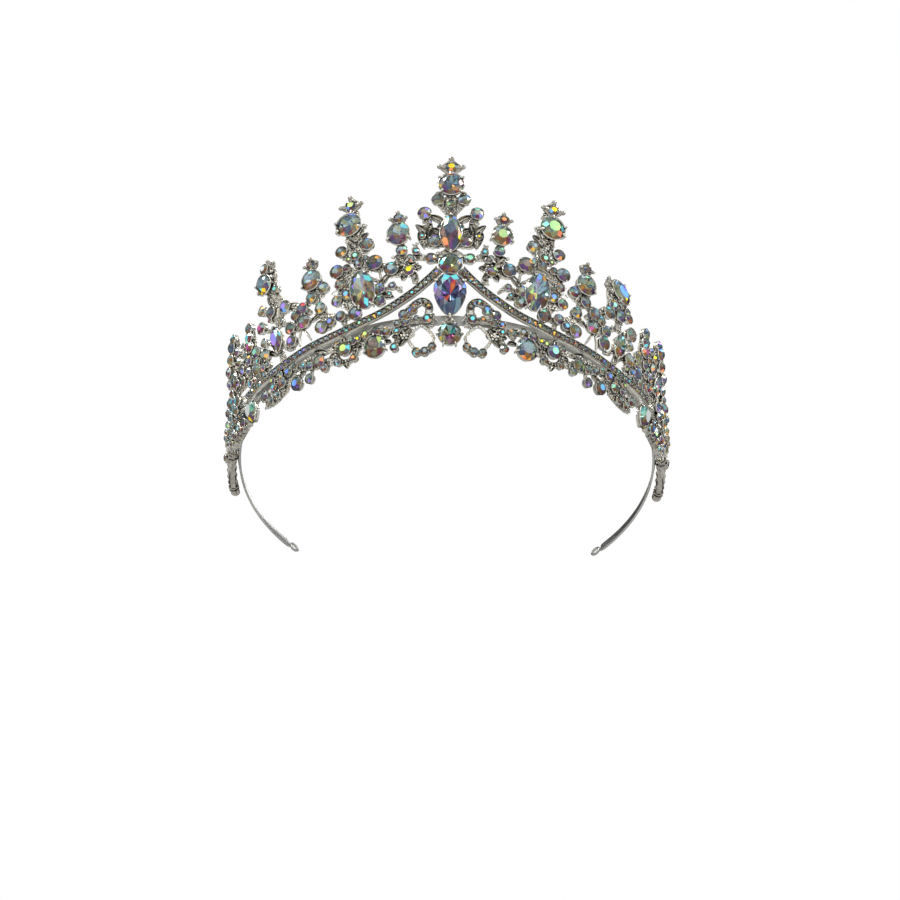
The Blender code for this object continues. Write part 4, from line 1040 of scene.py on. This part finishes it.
def spire_e(side):
    right = side > 0
    cast = Casting("spire_e", side, (-0.3, 0.2) if right else (1, 0.8))
    m = cast.metal
    rear, rise, low = (0, 0, 0) if right else (1.4, 1.6, -0.6)

    def place(u, v):
        """The rear half of the left cluster stands farther back and higher."""
        return (u + rear, v + rise) if u > 73 else (u, v)

    for u, v, r in ((67.2, 32, 1.9), (75.6, 33, 1.8)):
        cast.cup(*place(u, v - 0.7), r, claws=(45, 135, 225, 315), patch=1)
    for width, *path in (
            (4.2, (66.4, 14), (67.4, 22), (67.8, 30.6)), (4.4, (74, 14), (75.4, 22), (76, 31.6)),
            (4, (62, 15.2), (68, 15.4), (76, 14.4), (83, 15.4)),
            (3.4, (61.4, 18), (65, 19.2), (70, 20.4), (76, 20)), (3, (71.6, 15), (71.4, 21), (71.2, 27)),
            (3.6, (81.4, 15), (82, 20.4), (80.4, 28)), (2.6, (79, 13), (80, 20))):
        m.ground([place(*p) for p in path], width, 1.1)
    m.ground(((60.4, 13.2 + low), (66, 12.7 + low), (72.4, 12.7 + low)), 2, 1.1)
    for u, v, r in ((60.4, 14.2, 1.1), (65.2, 12.6, 1.1), (67.8, 12.7, 1.2), (70.5, 13, 1.4),
                    (62.6, 12, 0.9)):
        cast.cup(u, v + low, r, patch=1)
    m.leaf(71, 19, 4.6, 2.2, 20)
    m.leaf(71.6, 24, 3.8, 1.8, -24)
    for u, v, *stone in (
            (67.8, 28.2, 2), (68.2, 24.8, 2, "magenta, orange 200"), (65, 20.8, 2),
            (61, 17.4, 2.2, "orange 330"), (69.6, 20.6, 1.8), (66, 15, 2.1, "blue 90"), (63, 13.8, 1.5),
            (77.4, 30.4, 2.3, "blue 140"), (74.6, 26.6, 1.7, "yellow 200"), (79.4, 26.8, 2.2, "orange 270"),
            (74.4, 22.4, 1.9, "orange 200"), (73.2, 18.2, 1.7), (73.4, 14.2, 1.8),
            (82.6, 24.2, 1.9, "maroon 270"), (83.4, 20, 1.8), (71.4, 23.6, 1.3), (70.4, 17.2, 1.3),
            (64.8, 17.4, 1.2), (77, 16, 1.3), (71.6, 27.4, 1.2)):
        cast.cup(*place(u, v), *stone, patch=1)
    cast.stone("side_marquise_stone", Outline("marquise", *place(78.8, 18.6), 2, 4, 4), 8, 2,
        marks="violet 110 0.6, magenta 200 0.7, orange 260", claws=(90, 270), size=0.34)
    cast.done()


# ---------------------------------------------------------------- arch, scrolls and fringe
def arch(side):
    cast = Casting("arch_channel", side)
    path = spline(((2.9, 30.2),) + CHANNEL_PATH, 8)
    cast.metal.trough(path, 1.3, 1.15, 2.1, 0.24)
    spots = evenly(path, CHIP_PITCH)[1:-1]
    cast.chips(spots, 0.82, 1.95)
    metal_piece("arch_channel_casting" + cast.suffix, cast.metal, cast.name)
    gem_piece("pave_chips" + cast.suffix, cast.gems, "chip_crystal", "pave_row" + cast.suffix)


def scroll(side):
    cast = Casting("scroll", side)
    m = cast.metal
    hook = spline(((13.2, 14.8), (10.4, 17.9), (8.2, 19.3), (6.5, 18.4), (5.9, 16.6), (6.2, 14.2)), 7)
    m.trough(hook, 1.2, 0.9, 1.55, 0.28)
    cast.chips(evenly(hook, 1.6)[1:-2], 0.80, 1.6)
    m.grounds((2.6, (6.4, 14.6), (6.2, 12.6), (5.4, 10.4)),
        (3, (10.4, 17), (12, 15.6), (13.6, 14.2), (14.4, 12.2)),
        (1.6, (12.8, 12.6), (9.6, 13.2), (6.8, 13)))
    cast.cups((10.6, 16.6, 1.5), (13.3, 15, 1.6), (6.5, 13, 1.5), (12.8, 12.4, 1.3), (9.6, 13.2, 1.1),
        (15.2, 12.2, 1.2))
    m.vine(((5.4, 15.4), (4.6, 14.6), (4.8, 13.4)), 0.7, 1.3)
    cast.done()


def open_ring(side):
    cast = Casting("open_ring", side)
    m = cast.metal
    diamond = []
    for k in range(48):
        a = TURN * k / 48
        x, y = math.cos(a), math.sin(a)
        norm = (abs(x) ** 1.35 + abs(y) ** 1.35) ** (1 / 1.35)
        diamond.append(Vector((8.4 + 3.8 * x / norm, 6.6 + 4.5 * y / norm, 0)))
    m.rope(diamond, 0.34, 1.7, 0.85)
    m.ground(((4.6, 3.4), (7, 2.1), (10.2, 2.2)), 1.8)
    cast.cups((9.8, 2, 1.4), (7.3, 2.1, 1.4), (5.1, 3.6, 1.3))
    m.grounds((2.4, (11.6, 10.6), (13.4, 8.8), (15.2, 7.4), (16.2, 4.6)), (2, (11, 7.8), (14.6, 9.6)))
    for u, v, lean in ((13.4, 8, -38), (12.6, 7.4, 140), (13.8, 7.6, 80), (13.2, 8.2, 20)):
        m.leaf(u, v, 3.4, 1.9, lean)
    m.knot(13.2, 7.8, 1.4, 1.5)
    cast.cups((16.3, 4.3, 1.4), (15.4, 9.6, 1.2, "cyan"))
    cast.done()


def fringe(side):
    cast = Casting("fringe", side)
    m = cast.metal
    right = side > 0
    m.grounds((2.6, (16.4, 10.2), (20, 11), (24, 10.6), (28.4, 9.4)), (1.8, (19.6, 8.4), (17.8, 9.8)),
        (2.4, (25.6, 8), (27.6, 8.2), (29.6, 6.8)), (2.2, (28.4, 9.6), (31.6, 10.2), (35.2, 9)),
        (3.4, (34.6, 5.6), (38.4, 5), (43, 5.8), (48, 7)), (1.5, (36.2, 8.6), (41, 8.4), (47, 8.6)),
        (2.8, (46.6, 7.6), (52, 7.6), (57, 7), (62, 6.6)),
        (4.2, (51.2, 5.8), (55, 4.4), (60, 3.8), (65.6, 3.6)),
        (2.8, (54.6, 2.8), (58.6, 1.6), (62.6, 1.2), (66, 2)), (2.2, (51.4, 5.4), (50, 3.4), (49.4, 1.8)),
        (1.3, (44.2, 5), (44.6, 3), (44.6, 1.4)))
    cast.stone("fringe_round_stone", Outline("round", 23.2 if right else 22.2, 5.6, 3.15, 3.75), 8, 2,
        marks="slate, violet 100, orange 235 0.85, red 255 0.85, gold 285 0.85" if right else
        "brown, lime 42 0.7, teal 100 0.75, lime 20 0.75", deep="plum 250 0.6, plum 290 0.6",
        claws=(90, 200, 340), size=0.4)
    m.leaf(17.2, 6.8, 3.2, 1.6, 96)
    cast.cup(31.9, 7.2, 2.3, "blue 90, mint" if right else "cyan 10, lime, deep 300")
    for i in range(8):
        a = math.radians(45 * i)
        u, v = 31.8 + 3.9 * math.cos(a), 6.2 + 3.9 * math.sin(a)
        if i % 2:
            cast.cup(u, v, 1.25)
        else:
            m.leaf(u - 1.6 * math.cos(a), v - 1.6 * math.sin(a), 3.2, 1.9, 90 - math.degrees(a))
    for radius in (2.7, 3.8):
        ring = [Vector((31.8 + radius * math.cos(a), 6.2 + radius * math.sin(a), 0.7))
                for a in (TURN * k / 36 for k in range(36))]
        m.tube(ring, 0.5, 8, 1.2, True)
    for k in range(20):
        a = TURN * k / 20
        m.ball(31.8 + 3.15 * math.cos(a), 6.2 + 3.15 * math.sin(a), 1.35, 0.36)
    for k in range(6):
        a = math.radians(60 * k + 20)
        m.curl(31.8 + 4.3 * math.cos(a), 6.2 + 4.3 * math.sin(a), 0.85, 60 * k, 1, 1.2, 0.24)
    m.leaf(38, 8.2, 5, 2, 70)
    m.leaf(46.8, 5, 3.4, 1.9, 120)
    m.leaf(52.6, 6.4, 3.8, 1.8, 64)
    cast.cups((18.6, 9.9, 1.45), (21.6, 10.9, 1.45), (24.9, 10.3, 1.45), (27.4, 9.4, 1.1, "yellow"),
        (40.8, 5.8, 2.1, "lime 350, umber 270" if right else "orange 350, umber 270"), (39.2, 3, 1.3),
        (44.4, 5.6, 1.35, "mint 90"), (46.9, 6.3, 1.35, "cyan 60"), (50, 7.8, 1.2, "cyan 130"),
        (45, 1.5, 1.6, "violet 270"), (52.8, 7.2, 1.6, "blue"), (50, 1.8, 2.2, "blue, teal 90"),
        (56, 4.9, 1.8), (58.8, 1.9, 1.6), (62.2, 1.6, 1.6), (64.8, 4.4, 1.9, "teal 90"), (59.8, 5.2, 1.4),
        (56.4, 7.8, 1.2), (60, 7.6, 1.2, "lime"))
    cast.done()


def end_cluster(side):
    cast = Casting("end_cluster", side)
    m = cast.metal
    right = side > 0
    # The white table of the pear is a painted highlight.
    cast.stone("end_pear_stone", Outline("pear", 73, 3.7, 3.2, 4.1), 8, 2,
        marks="white, gold 280" if right else "white, yellow 265", deep="mint 120 0.5, orange 280 0.6",
        claws=(40, 140), size=0.36, quiet=("sage", "mint", "slate", "teal"))
    m.grounds((3.6, (78, 10.6), (84, 11), (90, 10), (97, 9)), (3.6, (81.6, 11), (81.4, 6), (83, 2)),
        (3.4, (77, 7.6), (84, 6.8), (92, 5.2)), (3.4, (78.2, 2), (84, 1.6), (90, 2.4), (97, 4.6)),
        (3, (87, 10), (89.4, 5), (94.4, 3.2)), (3, (95, 8), (99, 8), (101.6, 7.6)), height=1.7)
    band = spline(((76.4, 4.2), (80, 5.6), (86, 7.2), (93, 7.6), (101.2, 7.4)), 7)
    m.trough(band, 1.2, 1.9, 2.6, 0.3)
    cast.chips(evenly(band, 1.75)[1:-1], 0.66, 2.6)
    cast.cups((80, 11.8, 1.9), (84.2, 11.6, 1.9), (82, 9.2, 1.6), (78.4, 2.4, 1.8), (87.6, 10.4, 1.8),
        (87.6, 3.9, 1.8), (91.2, 9.8, 1.6), (94.8, 9.6, 1.5), (94.8, 5.2, 1.5), (91.2, 4.4, 1.5),
        (97.8, 9.4, 1.3), (85.4, 1.6, 1.3), (90.4, 1.8, 1.2), patch=0.8, top=2.7)
    girdle = Outline("marquise", 82.6, 3.2, 1.35, 3.1, 10)
    m.collet(girdle, 2.6, 0.34, 28)
    cast.gems.gem(girdle, 8, 2.65, 0.6, 0.8, 0.5, UPPER, 0.1)
    m.ground(((82, 13), (86, 15.6), (90, 14.4), (94.6, 11.6)), 3.4)
    cast.cups((84.2, 14.6, 1.9, "cyan"), (87.6, 16, 2), (91.2, 14.6, 1.7, "gold 120"), (88.4, 12.9, 1.5),
        (94.4, 12.2, 1.4), (84.6, 17.6, 1.6, "mint 90"), (76.6, 1.5, 1.3), (80.6, 1.6, 1.4),
        (84.6, 1.4, 1.3), (88.4, 1.4, 1.2), patch=1, top=2.2)
    m.leaf(96.6, 6.4, 4.6, 2.3, 64)
    m.leaf(97, 7.6, 4.4, 2.2, 112)
    m.knot(99.8, 7.6, 1.5)
    cast.done()


def end_bar(side):
    """Fluted, tapering tube with collars and a ball."""
    cast = Casting("end_bar", side)
    m = cast.metal
    first, last = END_BAR
    around, steps = 40, 46

    def hub(s):
        u = first + (last - first) * s
        return u, band_height(u), 0.15 + 1.6 * s

    rings = []
    for i in range(steps + 1):
        s = i / steps
        u, v, w = hub(s)
        radius = (1.85 - 0.28 * s) * (0.7 if i == 0 else 1)
        ring = []
        for k in range(around):
            b = TURN * k / around
            flute = radius * (1 - 0.24 * abs(math.sin(3 * b + 2.6 * s)) ** 0.8)
            flute *= 1 + 0.10 * math.sin(TURN * 6 * s + 2 * b)
            ring.append((u, v + flute * math.cos(b), w + flute * math.sin(b)))
        rings.append(ring)
    m.skin(rings)
    for s in (0.02, 0.12, 0.90, 0.97):
        u, v, w = hub(s)
        r = 1.85 - 0.28 * s + 0.02
        ring = [Vector((u, v + r * math.cos(b), w + r * math.sin(b)))
                for b in (TURN * k / 24 for k in range(24))]
        m.tube_ring(ring, Vector((1, 0, 0)), 0.24)
    u, v, w = hub(1)
    m.ball(u + 1.3, v, w, 1.65, 28, 18)
    cast.cup(105.4, band_height(105.4) + 0.4, 1.6, top=2.7)
    # The bar takes the darker copy of the cast silver: painted shade for its dark reflections.
    cast.done(look=SHADED_CAST)


# ---------------------------------------------------------------- studio
def studio():
    """White surroundings for the camera; the piece itself sees soft boxes, darker at the rear."""
    scene = bpy.context.scene
    scene.view_settings.view_transform = "Standard"
    scene.world = bpy.data.worlds.new("studio")
    tree = Tree(scene.world)
    place = tree.put("TexCoord", "Generated")
    up = tree.put("SeparateXYZ", "Z", Vector=place)
    sky = tree.ramp(tree.span(up, -1.0, 1.0), (0.0, 0.80), (0.25, 0.55), (0.42, 0.20), (0.52, 0.55),
                    (0.62, 1.15), (0.76, 0.55), (1.0, 1.1))
    rear = tree.span(up.node.outputs["Y"], -0.25, 0.55, 1.0, 0.10)
    patch = tree.put("TexNoise", "Fac", Vector=place, Scale=5.5, Detail=2.0)
    boxes = tree.ramp(patch, (0.38, 0.12), (0.50, 0.75), (0.60, 2.3))
    lit = tree.mix(1.0, tree.mix(1.0, sky, rear, "MULTIPLY"), boxes, "MULTIPLY")
    tree.join(tree.nodes["Background"].inputs["Color"],
              tree.mix(tree.put("LightPath", "Is Camera Ray"), lit, (1.0, 1.0, 1.0)))
    for name, spot, size, power in LAMPS:
        light = bpy.data.lights.new(name, "AREA")
        light.size = size
        light.energy = power
        lamp = bpy.data.objects.new(name, light)
        lamp.location = spot
        lamp.rotation_euler = (LIT_POINT - Vector(spot)).to_track_quat("-Z", "Y").to_euler()
        scene.collection.objects.link(lamp)


def floor():
    """Pale table top; it lets the view from below it through."""
    cells = 24
    row = cells + 1
    line = [FLOOR_HALF * (2.0 * i / cells - 1.0) for i in range(row)]
    mesh = bpy.data.meshes.new("floor")
    mesh.from_pydata([(x, y, FLOOR_LEVEL) for y in line for x in line], [],
                     [(j * row + i, j * row + i + 1, (j + 1) * row + i + 1, (j + 1) * row + i)
                      for j in range(cells) for i in range(cells)])
    mat = bpy.data.materials.new("floor_paint")
    tree = Tree(mat)
    grain = tree.put("TexNoise", "Fac", Scale=300.0)
    paint = tree.shade(Base_Color=tree.ramp(grain, (0.3, 0.80), (0.7, 0.84)), Roughness=0.7)
    below = tree.put("NewGeometry", "Backfacing")
    through = tree.put("BsdfTransparent", "BSDF")
    tree.join(tree.nodes["Material Output"].inputs["Surface"],
              tree.put("MixShader", "Shader", (), (below, paint, through)))
    mesh.materials.append(mat)
    obj = bpy.data.objects.new("floor", mesh)
    bpy.context.scene.collection.objects.link(obj)


def camera():
    """View from below the brim, straight on, as a camera held at chin height sees it."""
    rise, turn, lean = (math.radians(a) for a in CAMERA_ANGLES)
    back = Vector((math.sin(turn) * math.cos(rise), -math.cos(turn) * math.cos(rise), math.sin(rise)))
    level = (-back).cross(Vector((0.0, 0.0, 1.0))).normalized()
    upright = level.cross(-back)
    right = level * math.cos(lean) + upright * math.sin(lean)
    up = upright * math.cos(lean) - level * math.sin(lean)
    matrix = Matrix((right, up, back)).transposed().to_4x4()
    matrix.translation = CAMERA_TARGET + PLACE + back * CAMERA_DISTANCE
    data = bpy.data.cameras.new("camera")
    data.sensor_width = SENSOR
    data.lens = LENS
    data.shift_x, data.shift_y = CAMERA_SHIFT
    obj = bpy.data.objects.new("camera", data)
    obj.matrix_world = matrix
    bpy.context.scene.collection.objects.link(obj)
    bpy.context.scene.camera = obj


PARTS = (arch, spire_a, spire_b, spire_c, spire_d, spire_e, scroll, open_ring, fringe, end_cluster, end_bar)

headband()
centre_spire()
for side in (1, -1):
    for part in PARTS:
        part(side)
studio()
floor()
camera()
